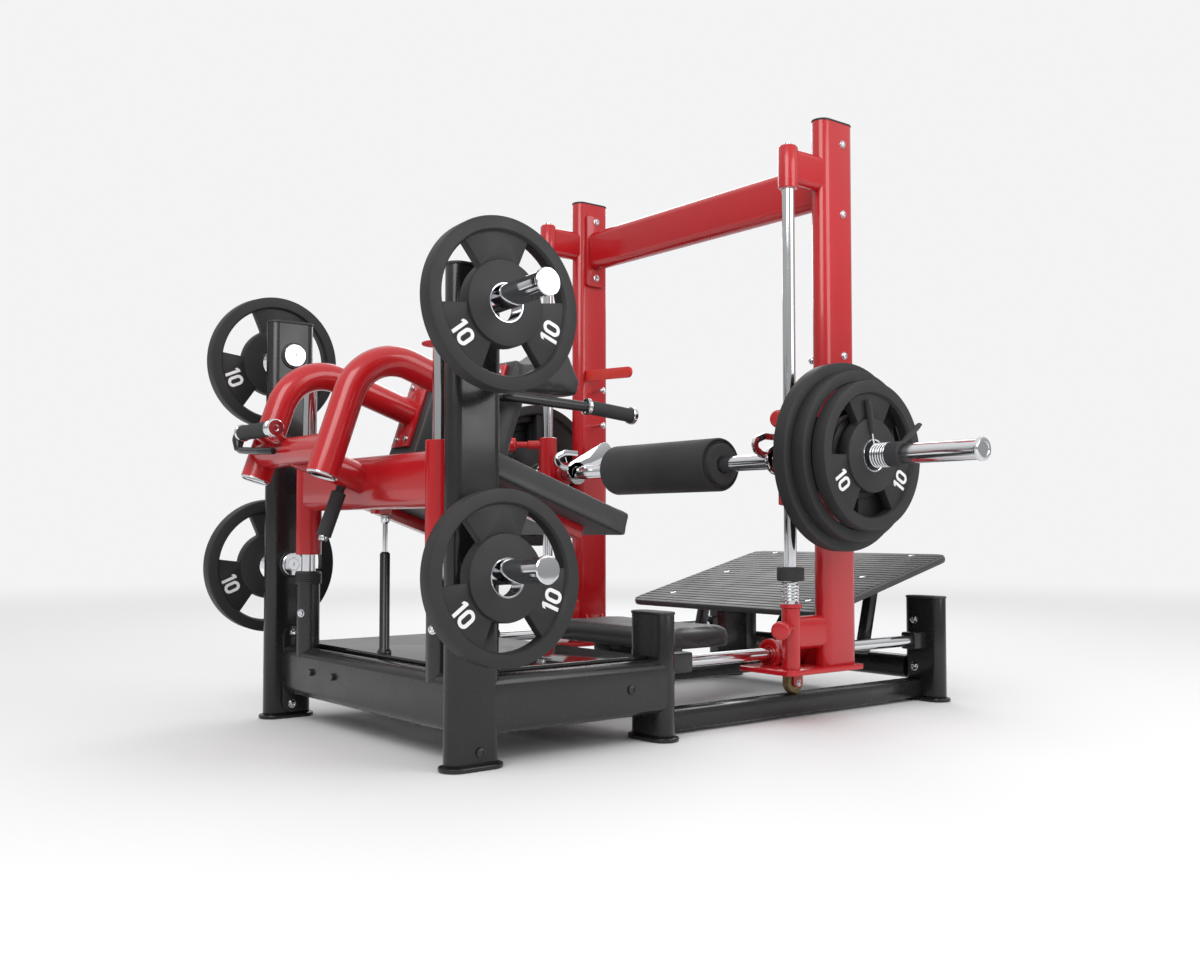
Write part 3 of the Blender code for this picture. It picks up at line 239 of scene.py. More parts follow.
BLACK_LACQUER = Finish(
    "black_lacquer", "black_paint", (0.009, 0.009, 0.010), 0.27, specular=0.4, coat=0.2,
    coat_roughness=0.08, edge_wear_and_highlight=0.3,
)
RED_LACQUER = Finish(
    "red_lacquer", "red_paint", (0.44, 0.008, 0.012), 0.24, specular=0.4, coat=0.4, shade=0.05,
    rough_span=0.02,
)
STOP_LACQUER = Finish(
    "stop_lacquer", "red_paint", (0.62, 0.026, 0.016), 0.38, shade=0.05, rough_span=0.02,
)
CHROME_PLATE = Finish(
    "chrome_plate", "chrome", (0.72, 0.73, 0.75), 0.09, metallic=1.0, shade=0.03, rough_span=0.03,
    grain=Grain.POLISH, grain_scale=90.0, grain_depth=0.000004,
)
PLATE_RUBBER = Finish(
    "plate_rubber_skin", "plate_rubber", (0.022, 0.022, 0.023), 0.52, specular=0.3, shade=0.10,
    grain=Grain.MOULDED, grain_scale=700.0, grain_depth=0.00005, edge_wear_and_highlight=0.35,
)
NUMBER_INK = Finish(
    "number_ink", "plate_rubber", (0.80, 0.80, 0.79), 0.5, shade=0.05, grain=Grain.MOULDED,
    grain_scale=600.0,
)
PAD_HIDE = Finish(
    "pad_hide", "upholstery", (0.024, 0.024, 0.026), 0.48, sheen=0.12, shade=0.2, grain=Grain.HIDE,
    grain_scale=420.0, grain_depth=0.00022, edge_wear_and_highlight=0.3,
)
ROLLER_FOAM = Finish(
    "roller_foam_skin", "foam", (0.032, 0.032, 0.034), 0.72, specular=0.3, sheen=0.1, grain=Grain.CELL,
    grain_scale=520.0, grain_depth=0.00018,
)
GRIP_RUBBER = Finish(
    "grip_rubber_skin", "grip_rubber", (0.034, 0.034, 0.036), 0.66, specular=0.35, grain=Grain.KNURL,
    grain_scale=260.0, grain_depth=0.00018,
)
CAP_PLASTIC = Finish(
    "cap_plastic", "black_paint", (0.018, 0.018, 0.019), 0.42, grain=Grain.MOULDED, grain_scale=500.0,
)
DECK_GLOSS = Finish(
    "deck_gloss", "gloss_black", (0.010, 0.010, 0.011), 0.10, coat=0.5, coat_roughness=0.04,
    rough_span=0.05,
)
TREAD_SKIN = Finish(
    "tread_skin", "tread_plate", (0.040, 0.040, 0.042), 0.46, shade=0.16, grain=Grain.MOULDED,
    grain_scale=520.0, grain_depth=0.00006, edge_wear_and_highlight=0.4,
)
WHEEL_NYLON = Finish(
    "wheel_nylon", "wheel_tan", (0.24, 0.18, 0.070), 0.45, grain=Grain.MOULDED, grain_scale=320.0,
)


class Shape:
    """One or more closed forms, drawn with mesh operators."""

    def __init__(self) -> None:
        """Starts empty."""
        self.work = bmesh.new()

    @property
    def points(self) -> list[bmesh.types.BMVert]:
        """All vertices."""
        return self.work.verts[:]

    @classmethod
    def turned(cls, profile: Sequence[Pair], axis: Axis, centre: Pair, steps: int = 40) -> "Shape":
        """Spins a profile round an axis.

        Args:
            profile: Points of radius and place along the axis; off the axis at both ends, it is a ring.
            axis: The axis.
            centre: Where the axis stands in its two cross directions.
            steps: Segments of the full turn.

        Returns:
            The closed form.
        """
        shape = cls()
        made = [shape.work.verts.new((radius, 0.0, along)) for radius, along in profile]
        pairs = list(zip(made, made[1:]))
        if profile[0][0] > 1e-6:
            pairs.append((made[-1], made[0]))
        edges = [shape.work.edges.new(pair) for pair in pairs]
        bmesh.ops.spin(
            shape.work, geom=made + edges, cent=(
                0, 0, 0,
            ), axis=(0, 0, 1), angle=math.tau, steps=steps, use_merge=True
        )
        bmesh.ops.remove_doubles(shape.work, verts=shape.points, dist=1e-6)
        return shape.outward().lay(axis, centre)

    @classmethod
    def oval(
        cls, axis: Axis, centre: Pair, width: float, height: float, start: float, end: float,
        edge: float = 0.0,
    ) -> "Shape":
        """A flat-sided oval bar, with half circles on the two ends of its longer side.

        Args:
            axis: The axis that it runs along.
            centre: Its middle in the two cross directions.
            width: Its size in the first cross direction.
            height: Its size in the second.
            start: Where it starts along the axis.
            end: Where it ends.
            edge: Rounding of its two end rims.

        Returns:
            The closed form.
        """
        shape = cls()
        count = 40
        radius = min(width, height) / 2
        turn = Matrix.Rotation(math.pi / count, 4, "Z")
        bmesh.ops.create_circle(shape.work, cap_ends=True, segments=count, radius=radius, matrix=turn)
        for row, reach in enumerate((width / 2 - radius, height / 2 - radius)):
            for sign in (-1, 1):
                half = [v for v in shape.points if v.co[row] * sign > 0]
                step = [0.0, 0.0, 0.0]
                step[row] = sign * reach
                bmesh.ops.translate(shape.work, verts=half, vec=step)
        return shape.raised(start, end).soften(edge).lay(axis, centre)

    @classmethod
    def slab(
        cls, axis: Axis, outline: Sequence[Pair], start: float, end: float, edge: float = 0.0,
    ) -> "Shape":
        """A flat plate of any outline.

        Args:
            axis: The axis across its faces.
            outline: Its corners in the two cross directions.
            start: Where it starts along the axis.
            end: Where it ends.
            edge: Rounding of its edges.

        Returns:
            The closed form.
        """
        shape = cls()
        shape.work.faces.new([shape.work.verts.new((a, b, 0.0)) for a, b in outline])
        return shape.raised(start, end).soften(edge).lay(axis, (0, 0))

    @classmethod
    def panel(
        cls, axis: Axis, centre: Pair, size: Pair, corner: float, start: float, end: float,
        edge: float = 0.002,
    ) -> "Shape":
        """A plate with round corners.

        Args:
            axis: The axis across its faces.
            centre: Its middle in the two cross directions.
            size: Its two sizes.
            corner: The radius of its corners.
            start: Where it starts along the axis.
            end: Where it ends.
            edge: Rounding of its rims.

        Returns:
            The closed form.
        """
        shape = cls()
        bmesh.ops.create_cube(shape.work, size=1.0)
        bmesh.ops.scale(shape.work, vec=(size[0], size[1], abs(end - start)), verts=shape.points)
        bmesh.ops.translate(shape.work, vec=(0, 0, (start + end) / 2), verts=shape.points)
        upright = [e for e in shape.work.edges if abs(e.verts[0].co.z - e.verts[1].co.z) > 1e-6]
        if corner > 0:
            shape._bevel(upright, corner, 8)
        return shape.soften(edge).lay(axis, centre)

    @classmethod
    def block(cls, low: Triple, high: Triple, edge: float = 0.002) -> "Shape":
        """A box with rounded edges, between two corners given in any order."""
        low, high = [min(a, b) for a, b in zip(low, high)], [max(a, b) for a, b in zip(low, high)]
        centre = ((low[0] + high[0]) / 2, (low[1] + high[1]) / 2)
        return cls.panel(
            Axis.Z, centre, (high[0] - low[0], high[1] - low[1]), 0.0, low[2], high[2], edge,
        )

    @classmethod
    def tube(
        cls, path: Iterable[Sequence[float]], radius, sides: int = 28, flat: float = 1.0,
    ) -> "Shape":
        """A round bar along a path.

        Args:
            path: Its points.
            radius: One radius, or one for each point.
            sides: Segments round it.
            flat: Its thickness as a share of its width, for a flat bar.

        Returns:
            The closed form.
        """
        shape = cls()
        route = [Vector(point) for point in path]
        radii = list(radius) if isinstance(radius, (list, tuple)) else [radius] * len(route)
        heads = []
        for index in range(len(route)):
            ahead = route[min(index + 1, len(route) - 1)]
            heads.append((ahead - route[max(index - 1, 0)]).normalized())
        stand = Matrix.Translation(route[0]) @ heads[0].to_track_quat("Z", "Y").to_matrix().to_4x4()
        stand = stand @ Matrix.Diagonal((1.0, flat, 1.0, 1.0))
        bmesh.ops.create_circle(
            shape.work, cap_ends=True, segments=sides, radius=radii[0], matrix=stand,
        )
        edges = shape.work.edges[:]
        for index in range(1, len(route)):
            made = bmesh.ops.extrude_edge_only(shape.work, edges=edges)["geom"]
            ring = {item for item in made if isinstance(item, bmesh.types.BMVert)}
            edges = [e for e in made if isinstance(e, bmesh.types.BMEdge) and set(e.verts) <= ring]
            bend = heads[index - 1].rotation_difference(heads[index]).to_matrix().to_4x4()
            grow = Matrix.Scale(radii[index] / radii[index - 1], 4)
            place = Matrix.Translation(route[index]) @ bend @ grow @ Matrix.Translation(
                -route[index - 1]
            )
            bmesh.ops.transform(shape.work, matrix=place, verts=list(ring))
        bmesh.ops.contextual_create(shape.work, geom=edges)
        return shape.outward()

    @classmethod
    def facing(cls, profile: Sequence[Pair], steps: int, place: Triple, heading: Triple) -> "Shape":
        """Spins a profile about a line that starts at a point and runs along a heading."""
        return cls.turned(profile, Axis.Z, (0, 0), steps).aim(place, heading)

    @classmethod
    def bolt(cls, place: Triple, heading: Triple, radius: float = 0.0085) -> "Shape":
        """A button-head bolt with its washer and socket.

        Args:
            place: Where its washer sits.
            heading: The way its head faces.
            radius: The washer's radius.

        Returns:
            The closed form.
        """
        head = radius * 0.80
        profile = [
            (0, -0.001), (radius, -0.001), (radius, radius * 0.16), (head, radius * 0.18),
            (head, radius * 0.30), (head * 0.86, radius * 0.55), (head * 0.52, radius * 0.66),
            (head * 0.42, radius * 0.34), (0, radius * 0.32),
        ]
        return cls.facing(profile, 18, place, heading)

    def _bevel(self, edges: list, offset: float, segments: int) -> None:
        """Rounds some edges."""
        bmesh.ops.bevel(
            self.work,
            geom=edges,
            offset=offset,
            offset_type="OFFSET",
            segments=segments,
            profile=0.5,
            affect="EDGES",
            clamp_overlap=True,
            material=-1,
        )

    def raised(self, start: float, end: float) -> "Shape":
        """Extrudes the flat faces drawn so far from one height to another."""
        low, high = min(start, end), max(start, end)
        bmesh.ops.translate(self.work, vec=(0, 0, low), verts=self.points)
        made = bmesh.ops.extrude_face_region(self.work, geom=self.work.faces[:])["geom"]
        top = [item for item in made if isinstance(item, bmesh.types.BMVert)]
        bmesh.ops.translate(self.work, vec=(0, 0, high - low), verts=top)
        return self.outward()

    def soften(self, offset: float, segments: int = 2, angle: float = 0.6) -> "Shape":
        """Rounds every edge that is sharper than an angle."""
        if offset > 0:
            sharp = [
                e for e in self.work.edges if len(e.link_faces) == 2 and e.calc_face_angle() > angle
            ]
            self._bevel(sharp, offset, segments)
        return self

    def outward(self) -> "Shape":
        """Turns every face outwards."""
        bmesh.ops.recalc_face_normals(self.work, faces=self.work.faces[:])
        return self

    def lay(self, axis: Axis, centre: Pair) -> "Shape":
        """Moves a form drawn along +Z onto an axis."""
        place = Matrix.Diagonal((0.0, 0.0, 0.0, 1.0))
        for column, row in enumerate(axis.value):
            place[row][column] = 1.0
        for row, value in zip(axis.value, centre):
            place[row][3] = value
        bmesh.ops.transform(self.work, matrix=place, verts=self.points)
        return self.outward()

    def aim(self, place: Triple, heading: Triple) -> "Shape":
        """Moves a form drawn along +Z so that it starts at a point and runs along a heading."""
        turn = Vector(heading).to_track_quat("Z", "Y").to_matrix().to_4x4()
        bmesh.ops.transform(self.work, matrix=Matrix.Translation(place) @ turn, verts=self.points)
        return self

    def move(self, step: Triple) -> "Shape":
        """Moves the whole form."""
        bmesh.ops.translate(self.work, vec=step, verts=self.points)
        return self

    def turn(self, angle: float, axis: str, centre: Triple = (0, 0, 0)) -> "Shape":
        """Turns the whole form about a line through a point."""
        spin = Matrix.Rotation(angle, 3, axis)
        bmesh.ops.rotate(self.work, verts=self.points, cent=centre, matrix=spin)
        return self

    def add(self, *others: "Shape") -> "Shape":
        """Takes in the forms of other shapes, which are used up."""
        for other in others:
            carrier = bpy.data.meshes.new("carrier")
            other.work.to_mesh(carrier)
            self.work.from_mesh(carrier)
            other.work.free()
            bpy.data.meshes.remove(carrier)
        return self


def mirrored(profile: Sequence[Pair]) -> list[Pair]:
    """The other half of a profile that is the same on both sides of its middle."""
    return [(radius, -along) for radius, along in reversed(profile)]


def bent(corners: Sequence[Triple], radius: float, steps: int = 14) -> list[Vector]:
    """A path of straight runs whose inner corners are rounded.

    Args:
        corners: The corners of the path.
        radius: The bend radius.
        steps: Points of each bend.

    Returns:
        The path's points.
    """
    path = [Vector(corners[0])]
    for before, corner, after in zip(corners, corners[1:], corners[2:]):
        middle = Vector(corner)
        into = (middle - Vector(before)).normalized()
        out = (Vector(after) - middle).normalized()
        turn = into.angle(out)
        start = middle - into * radius * math.tan(turn / 2)
        side = (out - into * out.dot(into)).normalized()
        centre = start + side * radius
        for step in range(steps + 1):
            angle = turn * step / steps
            path.append(centre - side * radius * math.cos(angle) + into * radius * math.sin(angle))
    path.append(Vector(corners[-1]))
    return path


@dataclass
class Workshop:
    """Hands finished shapes over to the frame."""

    shift: Vector
    made: list[str] = field(default_factory=list)

    def publish(
        self, shape: Shape, name: str, finish: Finish, body: str, nodes: Sequence[
            str
        ] = (), smooth: float = SMOOTH
    ) -> bpy.types.Object:
        """Makes an object of a shape, in its place, with its finish.

        Args:
            shape: The shape, which is used up.
            name: The piece's name.
            finish: Its finish.
            body: The body that it rides on.
            nodes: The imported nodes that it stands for.
            smooth: Edges flatter than this many degrees are shaded smooth.

        Returns:
            The new object.
        """
        shape.move(self.shift)
        mesh = bpy.data.meshes.new(name)
        shape.work.to_mesh(mesh)
        shape.work.free()
        mesh.polygons.foreach_set("use_smooth", [True] * len(mesh.polygons))
        mesh.set_sharp_from_angle(angle=math.radians(smooth))
        mesh.materials.append(finish.material())
        piece = bpy.data.objects.new(name, mesh)
        bpy.context.scene.collection.objects.link(piece)
        return self.enrol(piece, body, nodes)

    def stand_in(
        self, shape: Shape, node: str, finish: Finish, body: str, smooth: float = SMOOTH,
    ) -> bpy.types.Object:
        """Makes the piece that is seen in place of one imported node."""
        return self.publish(shape, f"{node}_looks", finish, body, [node], smooth)

    def enrol(
        self, piece: bpy.types.Object, body: str, nodes: Sequence[str],
    ) -> bpy.types.Object:
        """Hangs a piece on its body, hides the imported nodes that it stands for and logs it."""
        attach(piece, body)
        if nodes:
            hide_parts(*nodes)
        self.made.append(piece.name)
        log.info("%s on %s, %d faces", piece.name, body, len(piece.data.polygons))
        return piece


@dataclass
class BaseFrame:
    """Posts, beams, rails, deck and the stand of the foot plate."""

    tube_long: float = 0.120
    tube_short: float = 0.050
    head_post_x: float = 0.431
    head_post_top: float = 0.995
    low_post_x: float = 0.397
    low_post_top: float = 0.2825
    mid_post_y: float = 0.506
    rear_post_y: float = 1.5135
    beam_z: float = 0.123
    rail_radius: float = 0.015
    track_top: float = 0.0575
    deck_top: float = 0.189
    column_radius: float = 0.017
    column_top: float = 0.853

    def build(self, shop: Workshop) -> None:
        """Builds every piece of the fixed base."""
        caps = Shape()
        bolts = Shape()
        for name, side in SIDES.items():
            shop.stand_in(self.side_frame(side), f"side_frame_{name}", BLACK_LACQUER, "base")
            shop.stand_in(self.track(side), f"track_frame_{name}", BLACK_LACQUER, "base")
            shop.stand_in(self.rail(side), f"rail_rod_{name}", CHROME_PLATE, "base")
            shop.stand_in(self.column(side), f"column_{name}", CHROME_PLATE, "base")
            caps.add(self.caps(side))
            bolts.add(self.bolts(side))
        shop.publish(caps, "post_caps", CAP_PLASTIC, "base")
        shop.publish(bolts, "frame_bolts", CHROME_PLATE, "base")
        shop.stand_in(self.head_beam(), "head_beam", BLACK_LACQUER, "base")
        shop.publish(self.column_collars(), "column_collars", CAP_PLASTIC, "base")
        shop.publish(self.column_caps(), "column_caps", RED_LACQUER, "base")
        shop.stand_in(self.centre_frame(), "centre_frame", BLACK_LACQUER, "base")
        shop.stand_in(self.deck(), "deck_panel", DECK_GLOSS, "base")
        shop.stand_in(self.gas_cylinder(), "gas_cylinder", BLACK_LACQUER, "base")

    def foot(self, x: float, y: float, width: float, depth: float) -> Shape:
        """A foot flange, a little wider than its post."""
        return Shape.oval(Axis.Z, (x, y), width + 0.020, depth + 0.020, 0.0, 0.010, 0.003)

    def low_post(self, x: float, y: float) -> Shape:
        """A short post, long across the machine, on its flange."""
        post = Shape.oval(
            Axis.Z, (x, y), self.tube_long, self.tube_short, 0.002, self.low_post_top, 0.001,
        )
        return post.add(self.foot(x, y, self.tube_long, self.tube_short))

    def clamp(self, side: int, start: float, end: float) -> Shape:
        """The block that holds a rail's end, with the raised lip round its mouth."""
        centre = (side * RAIL_PLACE[0], RAIL_PLACE[1])
        block = Shape.panel(Axis.Y, centre, (0.046, 0.046), 0.006, start, end, 0.002)
        mouth = end if abs(end - 1.0) < abs(start - 1.0) else start
        out = 0.003 if mouth == end else -0.003
        lip = [
            (self.rail_radius, mouth - out), (0.0195, mouth - out), (0.0195, mouth + out * 0.4),
            (0.0175, mouth + out * 0.7), (self.rail_radius, mouth + out * 0.7),
        ]
        return block.add(Shape.turned(lip, Axis.Y, centre))

    def side_frame(self, side: int) -> Shape:
        """Head post, side beam and middle post with the front rail clamp and the deck's ledge."""
        x = side * self.head_post_x
        post = Shape.oval(
            Axis.Z, (x, 0), self.tube_short, self.tube_long, 0.002, self.head_post_top, 0.001,
        )
        post.add(self.foot(x, 0, self.tube_short, self.tube_long))
        post.add(
            Shape.oval(
                Axis.Y, (x, self.beam_z), self.tube_short - 0.001, self.tube_long, 0.020,
                self.mid_post_y,
            )
        )
        post.add(Shape.block((side * 0.390, 0.075, 0.171), (side * 0.421, 0.470, 0.1767), 0.001))
        post.add(self.low_post(side * self.low_post_x, self.mid_post_y))
        face = self.mid_post_y + self.tube_short / 2
        return post.add(self.clamp(side, face - 0.010, face + 0.078))

    def track(self, side: int) -> Shape:
        """Rear post with the wheel's track and the rear rail clamp."""
        face = self.rear_post_y - self.tube_short / 2
        frame = self.low_post(side * self.low_post_x, self.rear_post_y)
        x = side * TRACK_X
        start = self.mid_post_y + self.tube_short / 2
        frame.add(
            Shape.block(
                (x - 0.0275, start, 0.0105), (x + 0.0275, self.rear_post_y, self.track_top), 0.004,
            )
        )
        return frame.add(self.clamp(side, face - 0.0535, face + 0.010))

    def rail(self, side: int) -> Shape:
        """The chrome rod that the gantry slides on."""
        start = self.mid_post_y + self.tube_short / 2
        end = self.rear_post_y - self.tube_short / 2
        r = self.rail_radius
        profile = [
            (0, start), (r - 0.001, start), (r, start + 0.001), (r, end - 0.001), (r - 0.001, end),
            (0, end),
        ]
        return Shape.turned(profile, Axis.Y, (side * RAIL_PLACE[0], RAIL_PLACE[1]))

    def column(self, side: int) -> Shape:
        """The chrome column that the back rest slides on."""
        r = self.column_radius
        top = self.column_top
        profile = [
            (0, 0.191), (r, 0.191), (r, top - 0.004), (r - 0.003, top - 0.0005), (r - 0.004, top),
            (0, top),
        ]
        return Shape.turned(profile, Axis.Z, (side * COLUMN_X, 0))

    def post_cap(self, x: float, y: float, width: float, depth: float, top: float) -> Shape:
        """A domed cap, a little wider than its post."""
        return Shape.oval(Axis.Z, (x, y), width + 0.004, depth + 0.004, top - 0.002, top + 0.005, 0.003)

    def caps(self, side: int) -> Shape:
        """Domed caps on the posts, and the plugs in the head post and beam."""
        x = side * self.head_post_x
        caps = self.post_cap(x, 0, self.tube_short, self.tube_long, self.head_post_top)
        x = side * self.low_post_x
        for y in (self.mid_post_y, self.rear_post_y):
            caps.add(self.post_cap(x, y, self.tube_long, self.tube_short, self.low_post_top))
        out = side * (self.head_post_x + self.tube_short / 2)
        plug = [
            (0, -0.001), (0.0105, -0.001), (0.0105, 0.003), (0.009, 0.0045), (0.0055, 0.005),
            (0.005, 0.003), (0, 0.003),
        ]
        for y, z in ((0.007, 0.034), (0.394, 0.125)):
            caps.add(Shape.facing(plug, 24, (out, y, z), (side, 0, 0)))
        inner = side * (self.head_post_x - self.tube_short / 2)
        washer = [(0, -0.001), (0.0335, -0.001), (0.0335, 0.0025), (0.0320, 0.0040), (0, 0.0040)]
        for height in PEG_HEIGHTS.values():
            caps.add(Shape.facing(washer, 40, (inner, 0, height), (-side, 0, 0)))
        return caps

    def bolts(self, side: int) -> Shape:
        """Bolts on the posts' inner faces and on the rail clamps' posts."""
        inner = side * (self.head_post_x - self.tube_short / 2 - 0.010)
        bolts = Shape.bolt((inner, 0, 0.212), (-side, 0, 0), 0.009)
        bolts.add(Shape.bolt((inner, 0, 0.036), (-side, 0, 0), 0.011))
        post_inner = side * (self.head_post_x - self.tube_short / 2)
        for height in PEG_HEIGHTS.values():
            bolts.add(self.peg_root().aim((post_inner, 0, height), (-side, 0, 0)))
        for y, heading in ((self.mid_post_y, 1), (self.rear_post_y, -1)):
            face = y + heading * self.tube_short / 2
            for height in (0.221, 0.093):
                bolts.add(Shape.bolt((side * 0.376, face, height), (0, heading, 0), 0.0125))
        bolts.add(Shape.bolt((side * COLUMN_X + 0.014, -0.0245, 0.268), (0.5, -0.86, 0), 0.010))
        return bolts

    def peg_root(self) -> Shape:
        """The turned disc that holds a storage peg through its post."""
        profile = [
            (0, 0.0035), (0.0275, 0.0035), (0.0285, 0.0045), (0.0285, 0.0085), (0.0270, 0.0100),
            (0.0175, 0.0100), (0.0165, 0.0088), (0.0145, 0.0088), (0.0135, 0.0100), (0.0045, 0.0100),
            (0.0040, 0.0060), (0, 0.0060),
        ]
        return Shape.turned(profile, Axis.Z, (0, 0), 40)

    def head_beam(self) -> Shape:
        """Cross beam with its end flanges, column sockets and two plugs."""
        reach = self.head_post_x - self.tube_short / 2
        beam = Shape.oval(Axis.X, (0, self.beam_z), self.tube_short, self.tube_long, -reach, reach)
        plug = [(0, 0), (0.0085, 0), (0.0085, 0.007), (0.0075, 0.0085), (0, 0.0085)]
        for x in (-0.235, -0.120):
            beam.add(Shape.facing(plug, 24, (x, -0.024, 0.130), (0, -1, 0)))
        for side in SIDES.values():
            ends = sorted((side * reach, side * (reach - 0.010)))
            beam.add(
                Shape.oval(Axis.X, (0, self.beam_z), self.tube_short - 0.001, 0.216, *ends, 0.0015)
            )
            socket = [(0.0173, 0.160), (0.028, 0.160), (0.028, 0.342), (0.0173, 0.342)]
            beam.add(Shape.turned(socket, Axis.Z, (side * COLUMN_X, 0)))
        return beam

    def column_collars(self) -> Shape:
        """Ribbed bushes on top of the column sockets."""
        collars = Shape()
        for side in SIDES.values():
            profile = [(0.0173, 0.338), (0.0310, 0.338)]
            for rib in range(5):
                z = 0.3405 + rib * 0.0052
                profile.extend([(0.0322, z), (0.0322, z + 0.0034), (0.0312, z + 0.0042)])
            profile.extend([(0.0295, 0.369), (0.0185, 0.3695), (0.0173, 0.369)])
            collars.add(Shape.turned(profile, Axis.Z, (side * COLUMN_X, 0)))
        return collars

    def column_caps(self) -> Shape:
        """Thin discs on the columns' tops, which stop the sleeves."""
        caps = Shape()
        low = self.column_top
        profile = [
            (0, low), (0.0385, low), (0.0400, low + 0.0015), (0.0400, low + 0.0045),
            (0.0385, low + 0.006),
        ]
        profile.append((0, low + 0.006))
        for side in SIDES.values():
            caps.add(Shape.turned(profile, Axis.Z, (side * COLUMN_X, 0)))
        return caps

    def deck(self) -> Shape:
        """The gloss panel between the side beams."""
        half = self.head_post_x - self.tube_short / 2
        back = self.mid_post_y - self.tube_short / 2
        size = (2 * half - 0.001, back - 0.0345)
        return Shape.panel(
            Axis.Z, (0, (0.034 + back) / 2), size, 0.004, self.deck_top - 0.012, self.deck_top, 0.0015,
        )

    def gas_cylinder(self) -> Shape:
        """The gas spring's body on its foot, with its rod seal."""
        top = self.deck_top
        profile = [
            (0, top), (0.016, top), (0.016, top + 0.006), (0.0145, top + 0.008), (0.0115, top + 0.012),
            (0.0115, 0.4155), (0.0105, 0.4175), (0.0085, 0.4185), (0.0085, 0.4205), (0.0062, 0.4205),
            (0.0062, 0.30), (0, 0.30),
        ]
        return Shape.turned(profile, Axis.Z, GAS_SPRING_PLACE)

    def under_plate(self, y: float) -> float:
        """Height of the foot plate's underside at a place along the machine."""
        return 0.260 + (y - 1.090) * 0.143 / 0.560 - 0.0209

    def centre_frame(self) -> Shape:
        """Middle and rear cross beams, spine, seat pedestal and the foot plate's stand."""
        reach = self.low_post_x - self.tube_long / 2
        frame = Shape.oval(
            Axis.X, (self.mid_post_y, self.beam_z - 0.010), self.tube_short, 0.100, -reach, reach,
        )
        frame.add(Shape.oval(Axis.X, (self.rear_post_y, 0.0875), self.tube_short, 0.065, -reach, reach))
        frame.add(
            Shape.block((-0.040, self.mid_post_y, 0.066), (0.040, self.rear_post_y, 0.110), 0.006)
        )
        frame.add(Shape.block((-0.090, 0.720, 0.100), (0.090, 0.880, 0.1718), 0.004))
        front = [
            (1.150, 0.090), (1.190, 0.090), (1.190, self.under_plate(1.190)),
            (1.150, self.under_plate(1.150)),
        ]
        frame.add(Shape.slab(Axis.X, front, -0.060, 0.060, 0.003))
        tie = [
            (0, -0.337), (0.0175, -0.337), (0.018, -0.3365), (0.018, 0.3365), (0.0175, 0.337),
            (0, 0.337),
        ]
        frame.add(Shape.turned(tie, Axis.X, (1.330, 0.150)))
        frame.add(Shape.block((-0.030, 1.305, 0.100), (0.030, 1.355, 0.155), 0.003))
        strut = [
            (1.316, 0.150), (1.344, 0.150), (1.386, self.under_plate(1.386)),
            (1.356, self.under_plate(1.356)),
        ]
        brace = [
            (1.300, 0.100), (1.340, 0.100), (1.520, self.under_plate(1.520)),
            (1.485, self.under_plate(1.485)),
        ]
        for side in SIDES.values():
            frame.add(Shape.slab(Axis.X, strut, side * 0.337, side * 0.309, 0.002))
            frame.add(Shape.slab(Axis.X, brace, side * 0.038, side * 0.014, 0.002))
        return frame


@dataclass
class FootPlate:
    """Ribbed tread plate on its slope, with its screws."""

    half_width: float = 0.384
    front: Pair = (1.090, 0.260)
    back: Pair = (1.650, 0.403)
    thickness: float = 0.020
    corner: float = 0.044
    pitch: float = 0.0220
    rib_width: float = 0.0170
    rib_height: float = 0.0016

    def build(self, shop: Workshop) -> None:
        """Builds the plate, its ribs and its screws."""
        length = math.hypot(self.back[0] - self.front[0], self.back[1] - self.front[1])
        plate = Shape.panel(
            Axis.Z, (0, 0), (
                2 * self.half_width, length,
            ), self.corner, -self.thickness, -self.rib_height, 0.006
        )
        count = int((length - 0.030) / self.pitch)
        for step in range(count + 1):
            along = (step - count / 2) * self.pitch
            plate.add(self.rib(along, length / 2))
        shop.stand_in(self.tilt(plate), "foot_plate", TREAD_SKIN, "base")
        screws = Shape()
        for x in (-0.270, 0.270):
            for along in (-0.205, 0.029, 0.259):
                head = [
                    (0, -0.002), (0.0085, -0.002), (0.0085, 0.0004), (0.0075, 0.0010), (0.004, 0.0012),
                ]
                head.extend([(0.0034, -0.0010), (0, -0.0010)])
                screws.add(Shape.turned(head, Axis.Z, (x, along), 24))
        shop.publish(self.tilt(screws), "foot_plate_screws", CHROME_PLATE, "base")

    def rib(self, along: float, half_length: float) -> Shape:
        """One raised rib, shortened where the plate's corners are round."""
        into = abs(along) - (half_length - self.corner)
        half = self.half_width - 0.010
        if into > 0:
            half -= self.corner - math.sqrt(max(0.0, self.corner**2 - into**2))
        low = (-half, along - self.rib_width / 2, -0.006)
        return Shape.block(low, (half, along + self.rib_width / 2, 0.0), 0.0012)

    def tilt(self, shape: Shape) -> Shape:
        """Lays a form drawn flat onto the plate's slope."""
        slope = math.atan2(self.back[1] - self.front[1], self.back[0] - self.front[0])
        middle = (0, (self.front[0] + self.back[0]) / 2, (self.front[1] + self.back[1]) / 2)
        return shape.turn(slope, "X").move(middle)


